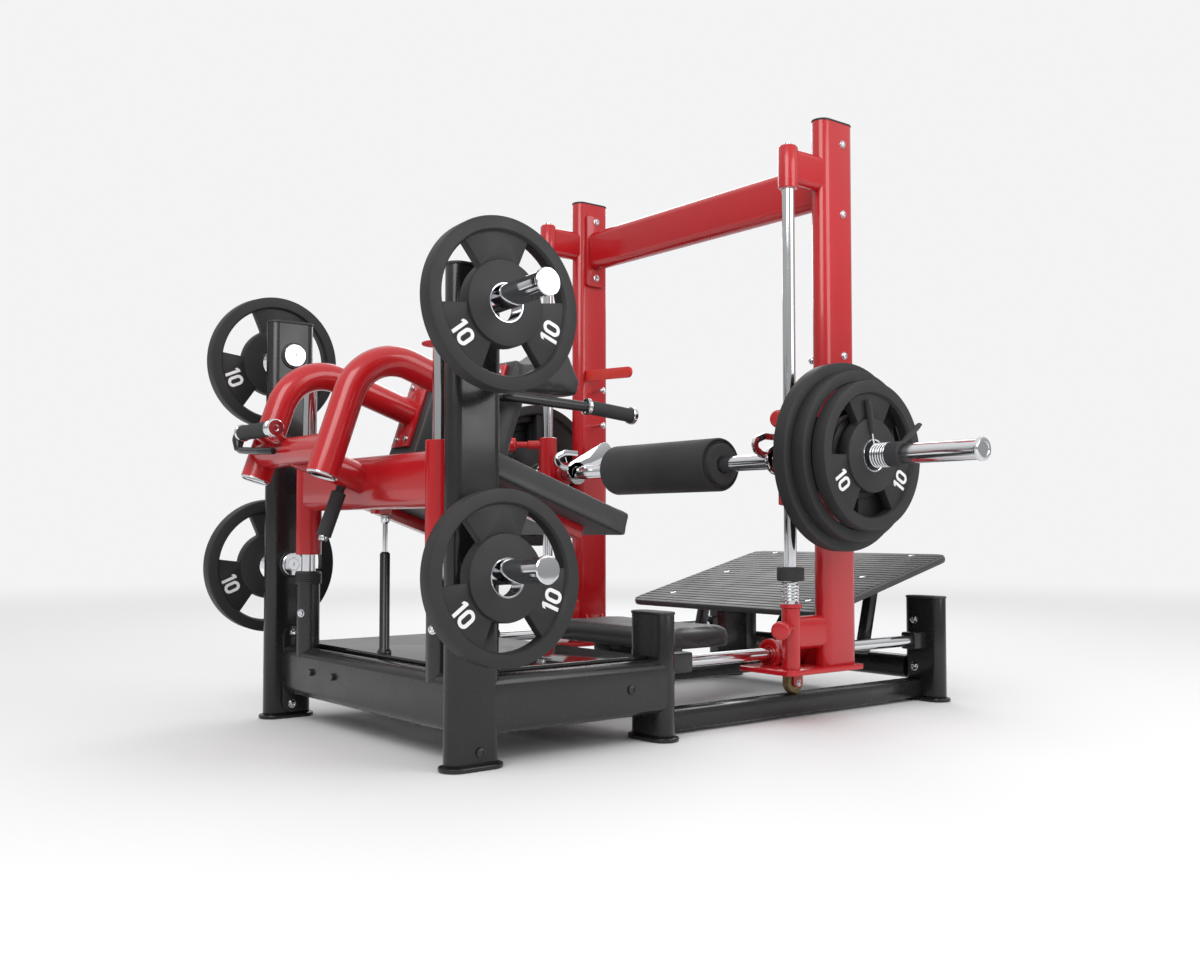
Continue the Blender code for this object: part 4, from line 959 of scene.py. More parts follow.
@dataclass
class WeightPlate:
    """A rubber grip plate about the origin, with its axis along X."""

    radius: float
    thickness: float
    bore: float
    liner: float
    spin: float = 0.0
    sink: float = 0.0075
    spoke_half: float = math.radians(31)
    hub: float = field(init=False)
    rim: float = field(init=False)

    def __post_init__(self) -> None:
        """Works out the hub and the rim from the radius."""
        self.hub = self.radius * 0.50
        self.rim = self.radius - 0.027

    def body(self) -> Shape:
        """Rim, hub and three spokes between three grip windows."""
        half = self.thickness / 2
        web = half - self.sink
        rim, radius = self.rim, self.radius
        side = [
            (rim - 0.003, web - 0.001), (rim - 0.003, web), (rim + 0.0005, half - 0.0012),
            (rim + 0.0020, half), (radius - 0.0026, half), (radius - 0.0007, half - 0.0007),
            (radius, half - 0.0026),
        ]
        plate = Shape.turned(side + mirrored(side), Axis.X, (0, 0), 96)
        hub = [
            (self.liner, half - 0.0015), (self.hub - 0.0030, half - 0.0015),
            (self.hub - 0.0012, half - 0.0022), (self.hub - 0.0004, half - 0.0040),
            (self.hub + 0.0006, web - 0.001),
        ]
        plate.add(Shape.turned(hub + mirrored(hub), Axis.X, (0, 0), 72))
        for middle in (90, 210, 330):
            plate.add(self.spoke(math.radians(middle) + self.spin, web))
        return plate

    def spoke(self, middle: float, web: float) -> Shape:
        """One broad spoke between hub and rim, flared where it meets both.

        Args:
            middle: The angle of its middle line, seen from +X.
            web: Half of its thickness.

        Returns:
            The closed form.
        """
        fillet = 0.0045
        inner, outer = self.hub, self.rim
        edge = []
        for reach, sign in ((outer, -1), (inner, 1)):
            level = reach + sign * fillet
            for step in range(7):
                turn = math.radians(90) * (step / 6 if sign < 0 else 1 - step / 6)
                distance = level - sign * fillet * math.cos(turn)
                gap = fillet * (1 - math.sin(turn)) / reach
                edge.append((distance, self.spoke_half + gap))
        edge.insert(0, (outer + 0.002, edge[0][1]))
        edge.append((inner - 0.003, edge[-1][1]))
        outline = [(r, middle + angle) for r, angle in edge]
        outline.extend((r, middle - angle) for r, angle in reversed(edge))
        return Shape.slab(Axis.X, self.arcs(outline), -web, web, 0.0018)

    def arcs(self, outline: Sequence[Pair]) -> list[Pair]:
        """Cross points of an outline given by radius and angle, its long steps cut up."""
        points = []
        for (r0, a0), (r1, a1) in zip(outline, [*outline[1:], outline[0]]):
            steps = max(1, math.ceil(abs(a1 - a0) / math.radians(5)))
            for step in range(steps):
                share = step / steps
                r, angle = r0 + (r1 - r0) * share, a0 + (a1 - a0) * share
                points.append((r * math.cos(angle), r * math.sin(angle)))
        return points

    def lining(self) -> Shape:
        """The chrome ring in the bore."""
        half = self.thickness / 2 + 0.0006
        r = self.liner
        ring = [
            (r - 0.0005, -half + 0.001), (r + 0.0008, -half), (r + 0.003, -half),
            (r + 0.0036, -half + 0.003), (r + 0.0036, half - 0.003), (r + 0.003, half),
            (r + 0.0008, half), (r - 0.0005, half - 0.001),
        ]
        return Shape.turned(ring, Axis.X, (0, 0), 48)

    def bush(self) -> Shape:
        """The sunk rubber between a wide lining and a narrow bore."""
        half = self.thickness / 2 - 0.009
        ring = [
            (self.bore, -half), (self.liner + 0.001, -half), (self.liner + 0.001, half),
            (self.bore, half),
        ]
        return Shape.turned(ring, Axis.X, (0, 0), 40)

    def numbers(self) -> Shape:
        """The printed tens on two spokes of both faces."""
        prints = Shape()
        for face in (-1, 1):
            for angle in (209, 331):
                prints.add(self.ten(face, math.radians(angle) + self.spin))
        return prints

    def ten(self, face: int, angle: float) -> Shape:
        """One printed ten, its head towards the hub.

        Args:
            face: The side of the plate along X, -1 or 1.
            angle: Where it stands round the plate, seen from +X.

        Returns:
            The thin print, as closed forms.
        """
        web = self.thickness / 2 - self.sink
        one = [
            (-0.0095, -0.0205), (-0.0095, 0.0205), (-0.0150, 0.0205), (-0.0215, 0.0160),
            (-0.0215, 0.0090), (-0.0170, 0.0120), (-0.0170, -0.0205),
        ]
        digits = Shape.slab(Axis.Z, one, -0.0004, 0.0004)
        digits.add(self.nought())
        turn = angle + math.pi / 2 if face > 0 else math.pi / 2 - angle + math.pi
        reach = (self.hub + self.rim) / 2 + 0.002
        place = Matrix.Translation((face * reach * math.cos(angle), reach * math.sin(angle), 0))
        bmesh.ops.transform(
            digits.work, matrix=place @ Matrix.Rotation(turn, 4, "Z"), verts=digits.points,
        )
        out = Matrix(((0, 0, face, face * web), (face, 0, 0, 0), (0, 1, 0, 0), (0, 0, 0, 1)))
        bmesh.ops.transform(digits.work, matrix=out, verts=digits.points)
        return digits.outward()

    def nought(self) -> Shape:
        """The figure nought, a flat ring between two ovals."""
        ring = Shape()
        loops = []
        for radius, reach in ((0.0130, 0.0075), (0.0055, 0.0075)):
            turn = Matrix.Rotation(math.pi / 32, 4, "Z")
            made = bmesh.ops.create_circle(ring.work, segments=32, radius=radius, matrix=turn)["verts"]
            for sign in (-1, 1):
                half = [v for v in made if v.co.y * sign > 0]
                bmesh.ops.translate(ring.work, verts=half, vec=(0, sign * reach, 0))
            loops.extend({e for v in made for e in v.link_edges})
        bmesh.ops.bridge_loops(ring.work, edges=loops)
        return ring.raised(-0.0004, 0.0004).move((0.0085, 0, 0))


@dataclass
class PlateStorage:
    """Pegs on the head posts with the plates that hang on them."""

    peg_radius: float = 0.024
    tip_x: float = 0.690
    tilt: float = math.radians(3.5)
    root_x: float = 0.456
    bore: float = 0.036
    plate_x: dict[str, float] = field(default_factory=lambda: {"upper": 0.5325, "lower": 0.5395})
    lean: float = math.radians(6)

    def build(self, shop: Workshop) -> None:
        """Builds four pegs and four plates."""
        for level, height in PEG_HEIGHTS.items():
            for name, side in SIDES.items():
                where = f"{level}_{name}"
                plate = WeightPlate(
                    GRIP_PLATE_RADIUS, GRIP_PLATE_THICKNESS, self.bore, self.bore, side * self.lean,
                )
                drop = plate.bore - self.peg_radius - 0.0012
                root = (side * self.root_x, 0, height)
                spin = -side * self.tilt
                peg = self.peg(side, height).turn(spin, "Y", root)
                shop.stand_in(peg, f"storage_peg_{where}", CHROME_PLATE, "base")
                node, body = f"storage_plate_{where}", f"stored_plate_{where}"
                rest = (side * self.plate_x[level], 0, height - drop)
                parts = (
                    (plate.body(), f"{node}_looks", PLATE_RUBBER, [node]),
                    (plate.lining(), f"{node}_ring", CHROME_PLATE, []),
                    (plate.numbers(), f"{node}_numbers", NUMBER_INK, []),
                )
                for shape, piece, finish, nodes in parts:
                    shape.move(rest).turn(spin, "Y", root)
                    shop.publish(shape, piece, finish, body, nodes, PLATE_SMOOTH)

    def peg(self, side: int, height: float) -> Shape:
        """One peg with its domed end cap."""
        r, tip = self.peg_radius, self.tip_x
        start = self.root_x + 0.0005
        profile = [
            (0, start), (r + 0.005, start), (r + 0.005, start + 0.004), (r, start + 0.006),
            (r, tip - 0.0105), (r + 0.0028, tip - 0.0095), (r + 0.003, tip - 0.008),
            (r + 0.003, tip - 0.003), (r + 0.001, tip - 0.0005), (r - 0.004, tip), (0, tip),
        ]
        return Shape.turned(
            [(radius, side * along) for radius, along in profile], Axis.X, (0, height), 48,
        )


@dataclass
class BackRest:
    """Sliding back rest: sleeves, beams, shoulder arms, grips and release lever."""

    sleeve_radius: float = 0.031
    sleeve_base: float = 0.410
    sleeve_top: float = 0.656
    beam_z: float = 0.576
    arm_x: float = 0.170
    arm_radius: float = 0.033
    arm_lean: float = math.radians(19)
    arm_bend: float = 0.115
    arm_foot: Pair = (-0.197, 0.585)
    arm_corner: Pair = (-0.101, 0.864)
    arm_length: float = 0.318
    pad_centre: Pair = (0.2380, 0.5537)
    pad_slope: float = math.radians(19.7)
    pad_thickness: float = 0.056
    tie_centre: Pair = (-0.1766, 0.641)
    release_centre: Pair = (-0.225, 0.690)
    handle_x: float = 0.262
    handle_fall: float = 0.097

    def build(self, shop: Workshop) -> None:
        """Builds the metal and rubber pieces of the back rest."""
        steel = Shape()
        for name, side in SIDES.items():
            shop.stand_in(self.sleeve(side), f"sleeve_{name}", RED_LACQUER, "back_rest")
            shop.stand_in(self.arm(side), f"arm_{name}", RED_LACQUER, "back_rest")
            shop.stand_in(self.handle(side), f"side_handle_{name}", BLACK_LACQUER, "back_rest")
            shop.publish(self.handle_grip(side), f"side_handle_{name}_grip", GRIP_RUBBER, "back_rest")
            steel.add(self.arm_steel(side), self.handle_steel(side))
        steel.add(self.release_steel())
        shop.publish(steel, "back_rest_steel", CHROME_PLATE, "back_rest")
        shop.stand_in(self.back_beam(), "back_beam", RED_LACQUER, "back_rest")
        shop.stand_in(self.arm_tie(), "arm_tie", RED_LACQUER, "back_rest")
        shop.publish(self.release_grip(), "release_grip", GRIP_RUBBER, "back_rest")
        shop.publish(self.lift_grip(), "lift_grip", GRIP_RUBBER, "back_rest")
        shop.stand_in(self.gas_rod(), "gas_rod", CHROME_PLATE, "back_rest")
        shop.stand_in(self.lever(), "release_lever", BLACK_LACQUER, "release_lever")
        shop.publish(self.release_elbow(), "release_elbow", BLACK_LACQUER, "back_rest")

    def on_arm_end(self, out: float, up: float) -> Pair:
        """A point past the arm's end, by its distance along the arm and up its end plate."""
        c, s = math.cos(self.arm_lean), math.sin(self.arm_lean)
        y = self.arm_corner[0] + self.arm_length * c + out * c + up * s
        z = self.arm_corner[1] - self.arm_length * s - out * s + up * c
        return y, z

    def under_pad(self, y: float, below: float) -> float:
        """Height of a line parallel to the back pad's underside."""
        drop = self.pad_thickness / 2 + below
        foot_y = self.pad_centre[0] - drop * math.sin(self.pad_slope)
        foot_z = self.pad_centre[1] - drop * math.cos(self.pad_slope)
        return foot_z - (y - foot_y) * math.tan(self.pad_slope)

    def sleeve(self, side: int) -> Shape:
        """Sliding sleeve with the bar that carries the back pad."""
        x = side * COLUMN_X
        r = self.sleeve_radius
        low, high = self.sleeve_base, self.sleeve_top
        profile = [
            (0.0178, low), (r - 0.0015, low), (r, low + 0.0015), (r, high - 0.0015), (r - 0.0015, high),
            (0.0178, high),
        ]
        sleeve = Shape.turned(profile, Axis.Z, (x, 0), 48)
        outline = [
            (0.0, self.under_pad(0.0, 0.0003)), (0.364, self.under_pad(0.364, 0.0003)),
            (0.354, self.under_pad(0.354, 0.030)), (0.0, self.under_pad(0.0, 0.030)),
        ]
        return sleeve.add(Shape.slab(Axis.X, outline, x - 0.018, x + 0.018, 0.003))

    def back_beam(self) -> Shape:
        """Cross beam between the sleeves with the gas spring's lug."""
        reach = COLUMN_X - 0.012
        beam = Shape.oval(Axis.X, (0, self.beam_z), 0.050, 0.120, -reach, reach)
        return beam.add(Shape.block((-0.012, 0.010, 0.5068), (0.012, 0.054, 0.545), 0.003))

    def arm(self, side: int) -> Shape:
        """Bent shoulder arm with its end plate."""
        x = side * self.arm_x
        middle = [(x, *self.arm_foot), (x, *self.arm_corner), (x, *self.on_arm_end(0.004, 0))]
        arm = Shape.tube(bent(middle, self.arm_bend, 22), self.arm_radius, 40)
        corners = ((0, -0.090), (0.010, -0.090), (0.010, 0.090), (0, 0.090))
        outline = [self.on_arm_end(out, up) for out, up in corners]
        return arm.add(Shape.slab(Axis.X, outline, x - 0.040, x + 0.040, 0.0015))

    def arm_steel(self, side: int) -> Shape:
        """Chrome plug in the arm's open end and the four bolts of its end plate."""
        x = side * self.arm_x
        down = (Vector((0, *self.arm_foot)) - Vector((0, *self.arm_corner))).normalized()
        r = self.arm_radius
        profile = [
            (0, -0.002), (r - 0.0005, -0.002), (r - 0.0005, 0.002), (r - 0.003, 0.004),
            (r - 0.005, 0.003), (r * 0.5, 0.0012), (0, 0.001),
        ]
        steel = Shape.facing(profile, 40, (x, *self.arm_foot), down)
        back = (0, -math.cos(self.arm_lean), math.sin(self.arm_lean))
        for across in (-0.024, 0.024):
            for up in (-0.070, 0.070):
                steel.add(Shape.bolt((x + across, *self.on_arm_end(0, up)), back, 0.0085))
        return steel

    def arm_tie(self) -> Shape:
        """Tube between the arms with its stub to the back beam and the webs of the release grip."""
        reach = self.arm_x - 0.006
        half = [(0.032, reach), (0, reach)]
        tie = Shape.turned(mirrored(half) + half, Axis.X, self.tie_centre, 48)
        tie.add(Shape.tube([(0, *self.tie_centre), (0, -0.006, 0.579)], 0.034, 40))
        web = [(-0.195, 0.655), (-0.178, 0.664), (-0.219, 0.696), (-0.231, 0.684)]
        for x in (-0.112, -0.030):
            tie.add(Shape.slab(Axis.X, web, x - 0.008, x + 0.008, 0.002))
        return tie

    def release_grip(self) -> Shape:
        """Ribbed grip of the release."""
        profile = [(0, -0.174), (0.0165, -0.174)]
        for rib in range(24):
            x = -0.1715 + rib * 0.0062
            profile.extend([(0.0170, x), (0.0170, x + 0.0042), (0.0163, x + 0.0052)])
        profile.extend([(0.0165, -0.0212), (0, -0.0212)])
        return Shape.turned(profile, Axis.X, self.release_centre, 36)

    def release_steel(self) -> Shape:
        """Chrome rings at the ends of the release grip and the tip of the lift grip."""
        near = [
            (0, -0.0216), (0.0185, -0.0216), (0.020, -0.020), (0.020, -0.010), (0.0178, -0.0085),
            (0.0178, -0.006), (0.0195, -0.004), (0.0195, 0.001), (0.017, 0.004), (0.0075, 0.004),
            (0.006, 0.001), (0, 0.001),
        ]
        far = [
            (0, -0.1805), (0.0165, -0.1805), (0.020, -0.1785), (0.020, -0.174), (0.018, -0.172),
            (0, -0.172),
        ]
        steel = Shape.turned(near, Axis.X, self.release_centre)
        tip = [
            (0, -0.002), (0.0090, -0.002), (0.0095, 0.0), (0.0095, 0.009), (0.008, 0.0112), (0, 0.012),
        ]
        steel.add(Shape.facing(tip, 40, (0, -0.1100, 0.4575), (0, -0.352, -0.936)))
        return steel.add(Shape.turned(far, Axis.X, self.release_centre))

    def lever(self) -> Shape:
        """The squeeze lever under the release grip."""
        corners = [
            (-0.170, -0.2345, 0.6505), (-0.150, -0.2350, 0.6485), (-0.060, -0.2330, 0.6425),
            (-0.010, -0.2240, 0.6410),
        ]
        return Shape.tube(bent(corners, 0.080, 10), 0.0078, 24).soften(0.0012)

    def release_elbow(self) -> Shape:
        """The black elbow at the end of the release grip, beside the lever's free end."""
        route = bent(
            [(-0.186, -0.225, 0.690), (-0.2000, -0.226, 0.688), (-0.1815, -0.2345, 0.6530)], 0.012, 8,
        )
        return Shape.tube(route, [0.0160] + [0.0135] * (len(route) - 2) + [0.0085], 28).soften(0.002)

    def lift_grip(self) -> Shape:
        """Grip under the stub, on its short stem."""
        start, end = Vector((0, -0.0740, 0.5531)), Vector((0, -0.1100, 0.4575))
        stem = Shape.tube([start.lerp(end, -0.28), start], 0.010, 24)
        route = []
        radii = []
        for step in range(25):
            route.append(start.lerp(end, step / 24))
            radii.append(0.0166 if step % 2 else 0.0160)
        stem.add(Shape.tube(route, radii, 28))
        return stem

    def handle(self, side: int) -> Shape:
        """Bent tube from the arm's side to the handle's grip."""
        edge = side * (self.arm_x + self.arm_radius - 0.002)
        root = self.on_arm_end(-0.016, 0)
        x = side * self.handle_x
        corners = [(edge, *root), (x, *root), (x, 0.430, self.handle_height(0.430))]
        return Shape.tube(bent(corners, 0.034, 10), 0.012, 28)

    def handle_height(self, y: float) -> float:
        """Height of the handle's axis at a place along the machine."""
        return 0.7565 - (y - 0.418) * self.handle_fall

    def handle_grip(self, side: int) -> Shape:
        """Fine-ribbed rubber grip."""
        route = []
        radii = []
        for step in range(61):
            y = 0.4285 + 0.1235 * step / 60
            route.append((side * self.handle_x, y, self.handle_height(y)))
            radii.append(0.0166 if step % 2 else 0.0161)
        return Shape.tube(route, radii, 32)

    def handle_steel(self, side: int) -> Shape:
        """Chrome collar and end cap of a side handle."""
        collar = [
            (0, 0), (0.0165, 0), (0.0195, 0.002), (0.0195, 0.005), (0.0185, 0.006), (0.0195, 0.007),
            (0.0195, 0.010), (0.0175, 0.012), (0, 0.012),
        ]
        cap = [
            (0, 0), (0.0195, 0), (0.021, 0.0015), (0.021, 0.0095), (0.0185, 0.0125), (0.012, 0.0128),
            (0.011, 0.0115), (0, 0.0112),
        ]
        steel = Shape()
        for y, profile in ((0.4165, collar), (0.5515, cap)):
            place = (side * self.handle_x, y, self.handle_height(y))
            steel.add(Shape.facing(profile, 40, place, (0, 1, -self.handle_fall)))
        return steel

    def gas_rod(self) -> Shape:
        """The gas spring's rod with its ball head."""
        profile = [
            (0, 0.262), (0.0055, 0.262), (0.0055, 0.484), (0.0075, 0.486), (0.0100, 0.490),
            (0.0100, 0.497), (0.0085, 0.4985), (0.0100, 0.500), (0.0100, 0.504), (0.0070, 0.5065),
            (0, 0.5065),
        ]
        return Shape.turned(profile, Axis.Z, GAS_SPRING_PLACE)


@dataclass
class Cushion:
    """One padded piece: a slab that is given an even skin and then blown up a little."""

    name: str
    node: str
    body: str
    fill: float
    cap: float
    grain: float = 0.0045

    def swell(self, shop: Workshop, shape: Shape, firm: Iterable[Vector]) -> bpy.types.Object:
        """Blows a drawn slab up with cloth pressure and makes it a piece.

        Args:
            shop: The workshop.
            shape: The slab, drawn a little small.
            firm: Points and inward headings of planes; what lies on them stays flat.

        Returns:
            The padded piece.
        """
        planes = list(firm)
        shape.move(shop.shift)
        mesh = bpy.data.meshes.new(self.name)
        shape.work.to_mesh(mesh)
        shape.work.free()
        piece = bpy.data.objects.new(self.name, mesh)
        bpy.context.scene.collection.objects.link(piece)
        self._remesh(piece)
        self._inflate(piece, planes, shop.shift)
        piece.data.polygons.foreach_set("use_smooth", [True] * len(piece.data.polygons))
        piece.data.materials.append(PAD_HIDE.material())
        shop.enrol(piece, self.body, [self.node])
        return piece

    def _remesh(self, piece: bpy.types.Object) -> None:
        """Gives the slab an even skin."""
        step = piece.modifiers.new("skin", "REMESH")
        step.mode = "VOXEL"
        step.voxel_size = self.grain
        self._apply(piece)

    def _apply(self, piece: bpy.types.Object) -> None:
        """Puts the result of a piece's modifiers into its mesh."""
        graph = bpy.context.evaluated_depsgraph_get()
        made = bpy.data.meshes.new_from_object(piece.evaluated_get(graph))
        piece.modifiers.clear()
        old = piece.data
        piece.data = made
        bpy.data.meshes.remove(old)
        made.name = self.name

    def _inflate(self, piece: bpy.types.Object, planes: list, shift: Vector) -> None:
        """Runs the cloth, with the resting sides held, and caps how far a point moves."""
        before = [v.co.copy() for v in piece.data.vertices]
        held = piece.vertex_groups.new(name="held")
        for place, heading in planes:
            spot = Vector(place) + shift
            away = Vector(heading).normalized()
            on_plane = [i for i, co in enumerate(before) if (co - spot).dot(away) < 0.004]
            held.add(on_plane, 1.0, "REPLACE")
        cloth = piece.modifiers.new("air", "CLOTH")
        cloth.settings.use_pressure = True
        cloth.settings.uniform_pressure_force = 4.0
        cloth.settings.effector_weights.gravity = 0.0
        cloth.settings.vertex_group_mass = "held"
        cloth.settings.quality = 5
        scene = bpy.context.scene
        for frame in range(1, 21):
            scene.frame_set(frame)
        self._apply(piece)
        scene.frame_set(1)
        for vertex, start in zip(piece.data.vertices, before):
            step = vertex.co - start
            if step.length > self.cap:
                vertex.co = start + step * (self.cap / step.length)
        finer = piece.modifiers.new("finer", "SUBSURF")
        finer.levels = 1
        finer.render_levels = 1
        self._apply(piece)


@dataclass
class Upholstery:
    """Seat, back and shoulder pads."""

    rest: BackRest
    pad_width: float = 0.136

    def build(self, shop: Workshop) -> None:
        """Builds the four padded pieces."""
        self.seat(shop)
        self.back(shop)
        for name, side in SIDES.items():
            self.shoulder(shop, name, side)

    def seat(self, shop: Workshop) -> None:
        """The low seat pad on its pedestal."""
        slab = Shape.panel(Axis.Z, (0, 0.800), (0.492, 0.252), 0.050, 0.1723, 0.2190, 0.014)
        pad = Cushion("seat_pad_looks", "seat_pad", "base", 0.7, 0.006)
        pad.swell(shop, slab, [((0, 0.8, 0.1723), (0, 0, 1))])

    def back(self, shop: Workshop) -> None:
        """The wide back pad on its slope."""
        half = self.rest.pad_thickness / 2
        slab = Shape.panel(
            Axis.Z, (0, 0.004), (0.796, 0.419), 0.012, -half + 0.0003, half - 0.003, 0.006,
        )
        slab.turn(-self.rest.pad_slope, "X").move((0, *self.rest.pad_centre))
        up = Vector((0, math.sin(self.rest.pad_slope), math.cos(self.rest.pad_slope)))
        under = Vector((0, *self.rest.pad_centre)) - up * (half - 0.0003)
        pad = Cushion("back_pad_looks", "back_pad", "back_rest", 0.7, 0.0035, 0.0064)
        pad.swell(shop, slab, [(under, up)])

    def shoulder(self, shop: Workshop, name: str, side: int) -> None:
        """A padded hook over one shoulder."""
        end = self.rest.on_arm_end
        outline = [
            end(0.0105, -0.120), end(0.063, -0.124), end(0.065, 0.006), (0.272, 0.786),
            (0.4187, 0.7855), (0.4262, 0.8185), (0.3950, 0.8780), (0.371, 0.893), (0.288, 0.844),
            (0.264, 0.846), end(0.0105, 0.104),
        ]
        x = side * self.rest.arm_x
        half = self.pad_width / 2 - 0.003
        slab = Shape.slab(Axis.X, outline, x - half, x + half)
        slab.soften(0.007, 3, 0.2)
        lean = self.rest.arm_lean
        plane = (Vector((x, *end(0.0105, 0))), (0, math.cos(lean), -math.sin(lean)))
        pad = Cushion(f"shoulder_pad_{name}_looks", f"shoulder_pad_{name}", "back_rest", 0.7, 0.003)
        pad.swell(shop, slab, [plane])


@dataclass
class Gantry:
    """Sliding gantry: uprights, top beam, guide rods, springs, bumpers, wheels and pull knobs."""

    upright_x: float = 0.4906
    upright_y: float = 1.0198
    tube_half: float = 0.025
    upright_base: float = 0.1393
    upright_top: float = 1.4885
    rod_y: float = 0.8605
    rod_radius: float = 0.015
    top_beam_z: float = 1.3363
    wheel_y: float = 1.000
    wheel_z: float = 0.0853
    wheel_radius: float = 0.0275
    peg_heights: tuple[float, ...] = (0.8985, 0.7905, 0.6825)
    peg_tip: float = 0.4135
    foot_knob_z: float = 0.2386
    spring_low: float = 0.2943
    spring_high: float = 0.3482
    bumper_travel: float = 0.018

    def build(self, shop: Workshop) -> None:
        """Builds every piece of the gantry."""
        caps = Shape()
        steel = Shape()
        for name, side in SIDES.items():
            shop.stand_in(self.upright(side), f"upright_{name}", RED_LACQUER, "gantry")
            shop.stand_in(self.guide_rod(side), f"guide_rod_{name}", CHROME_PLATE, "gantry")
            coil = shop.stand_in(self.spring(side), f"bumper_spring_{name}", CHROME_PLATE, "gantry")
            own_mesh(coil)
            shop.stand_in(self.wheel(side), f"wheel_{name}", WHEEL_NYLON, f"wheel_{name}")
            shop.stand_in(self.bumper(side), f"bumper_{name}", GRIP_RUBBER, f"bumper_{name}")
            knob = self.knob(side, self.foot_knob_z, 0.066)
            shop.stand_in(knob, f"foot_knob_{name}", RED_LACQUER, f"foot_knob_{name}")
            caps.add(self.cap(side))
            steel.add(self.steel(side))
        shop.publish(caps, "upright_caps", CAP_PLASTIC, "gantry")
        shop.publish(steel, "gantry_steel", CHROME_PLATE, "gantry")
        shop.stand_in(self.top_beam(), "top_beam", RED_LACQUER, "gantry")
        shop.publish(self.safety_stop(), "safety_stop", STOP_LACQUER, "gantry")

    @property
    def spring_squeeze(self) -> float:
        """Share of a spring's height that is left when its bumper is pressed all the way."""
        return 1 - self.bumper_travel / (self.spring_high - self.spring_low)

    def knob_place(self, side: int, height: float) -> tuple[Vector, Vector]:
        """The point on a guide rod's axis and the heading of a pull knob there."""
        return Vector((side * self.upright_x, self.rod_y, height)), Vector((side * 0.5, -0.8660254, 0))

    def barrel(self, side: int, height: float, end: float) -> Shape:
        """The short barrel that guides a pull knob."""
        profile = [(0, 0.010), (0.013, 0.010), (0.013, end - 0.0015), (0.0115, end), (0, end)]
        return Shape.facing(profile, 40, *self.knob_place(side, height))

    def knob(self, side: int, height: float, start: float) -> Shape:
        """A pull knob with its stem and its rounded disc."""
        profile = [
            (0, start), (0.0085, start), (0.0095, start + 0.001), (0.0095, 0.094), (0.012, 0.0965),
            (0.0195, 0.098), (0.0212, 0.0995), (0.0215, 0.102), (0.0215, 0.113), (0.0208, 0.1155),
            (0.0188, 0.1175), (0.016, 0.118), (0, 0.118),
        ]
        return Shape.facing(profile, 48, *self.knob_place(side, height))

    def upright(self, side: int) -> Shape:
        """Leg with its foot, rail bearing, rod sockets, wheel fork and gussets."""
        x = side * self.upright_x
        leg = Shape.oval(
            Axis.Z, (x, self.upright_y), 0.050, 0.120, self.upright_base - 0.004,
            self.upright_top - 0.003, 0.001,
        )
        leg.add(
            Shape.panel(
                Axis.Z, (side * 0.4395, 0.955), (0.175, 0.274), 0.016, 0.127, self.upright_base, 0.002,
            )
        )
        bearing = [
            (0.0160, 0.885), (0.0225, 0.885), (0.0230, 0.889), (0.0265, 0.889), (0.0270, 0.885),
            (0.0345, 0.885), (0.0360, 0.8865), (0.0360, 0.897), (0.0345, 0.899), (0.0320, 0.8995),
            (0.0320, 1.0495), (0.0160, 1.0495),
        ]
        leg.add(Shape.turned(bearing, Axis.Y, (side * RAIL_PLACE[0], RAIL_PLACE[1]), 48))
        socket = [
            (0.0153, 0.132), (0.022, 0.132), (0.022, 0.283), (0.0255, 0.285), (0.0265, 0.286),
            (0.0265, 0.293), (0.0255, 0.294), (0.0153, 0.294),
        ]
        leg.add(Shape.turned(socket, Axis.Z, (x, self.rod_y), 48))
        leg.add(Shape.oval(Axis.Y, (x, 0.224), 0.036, 0.080, self.rod_y, self.upright_y - 0.030))
        ring = [
            (0.0153, 1.2945), (0.0225, 1.2945), (0.0240, 1.2960), (0.0240, 1.3930), (0.0200, 1.3985),
            (0.0082, 1.3990), (0.0082, 1.3965), (0.0153, 1.3965),
        ]
        leg.add(Shape.turned(ring, Axis.Z, (x, self.rod_y), 48))
        leg.add(Shape.oval(Axis.Y, (x, 1.3505), 0.038, 0.087, self.rod_y, self.upright_y - 0.030))
        for lug in (-1, 1):
            middle = side * TRACK_X + lug * 0.0165
            leg.add(self.fork(middle))
        leg.add(self.barrel(side, self.foot_knob_z, 0.0657))
        inner = side * (self.upright_x - self.tube_half)
        for y in (self.upright_y - 0.030, self.upright_y + 0.030):
            web = [
                (inner + side * 0.003, 0.139), (inner - side * 0.050, 0.139),
                (inner + side * 0.003, 0.215),
            ]
            leg.add(Shape.slab(Axis.Y, web, y - 0.004, y + 0.004, 0.001))
        return leg

    def fork(self, middle: float) -> Shape:
        """One lug of the wheel's fork, with a round foot."""
        outline = [(self.wheel_y - 0.017, 0.132), (self.wheel_y - 0.017, self.wheel_z)]
        for step in range(1, 12):
            angle = math.pi + math.pi * step / 12
            outline.append(
                (self.wheel_y + 0.017 * math.cos(angle), self.wheel_z + 0.0113 * math.sin(angle))
            )
        outline.extend([(self.wheel_y + 0.017, self.wheel_z), (self.wheel_y + 0.017, 0.132)])
        return Shape.slab(Axis.X, outline, middle - 0.003, middle + 0.003, 0.0008)

    def safety_stop(self) -> Shape:
        """Flat bar on the left leg that the bar can't rise past."""
        start, end = Vector((-0.470, 0.946)), Vector((-0.265, 0.937))
        middle = (start + end) / 2
        length = (end - start).length
        bar = Shape.oval(Axis.Y, (0, 0), length + 0.033, 0.033, 0.985, 0.993, 0.0012)
        slope = -math.atan2(end.y - start.y, end.x - start.x)
        bar.turn(slope, "Y", (0, 0.989, 0)).move((middle.x, 0, middle.y))
        return bar.add(Shape.block((-0.480, 0.985, 0.931), (-0.462, 1.010, 0.961), 0.002))

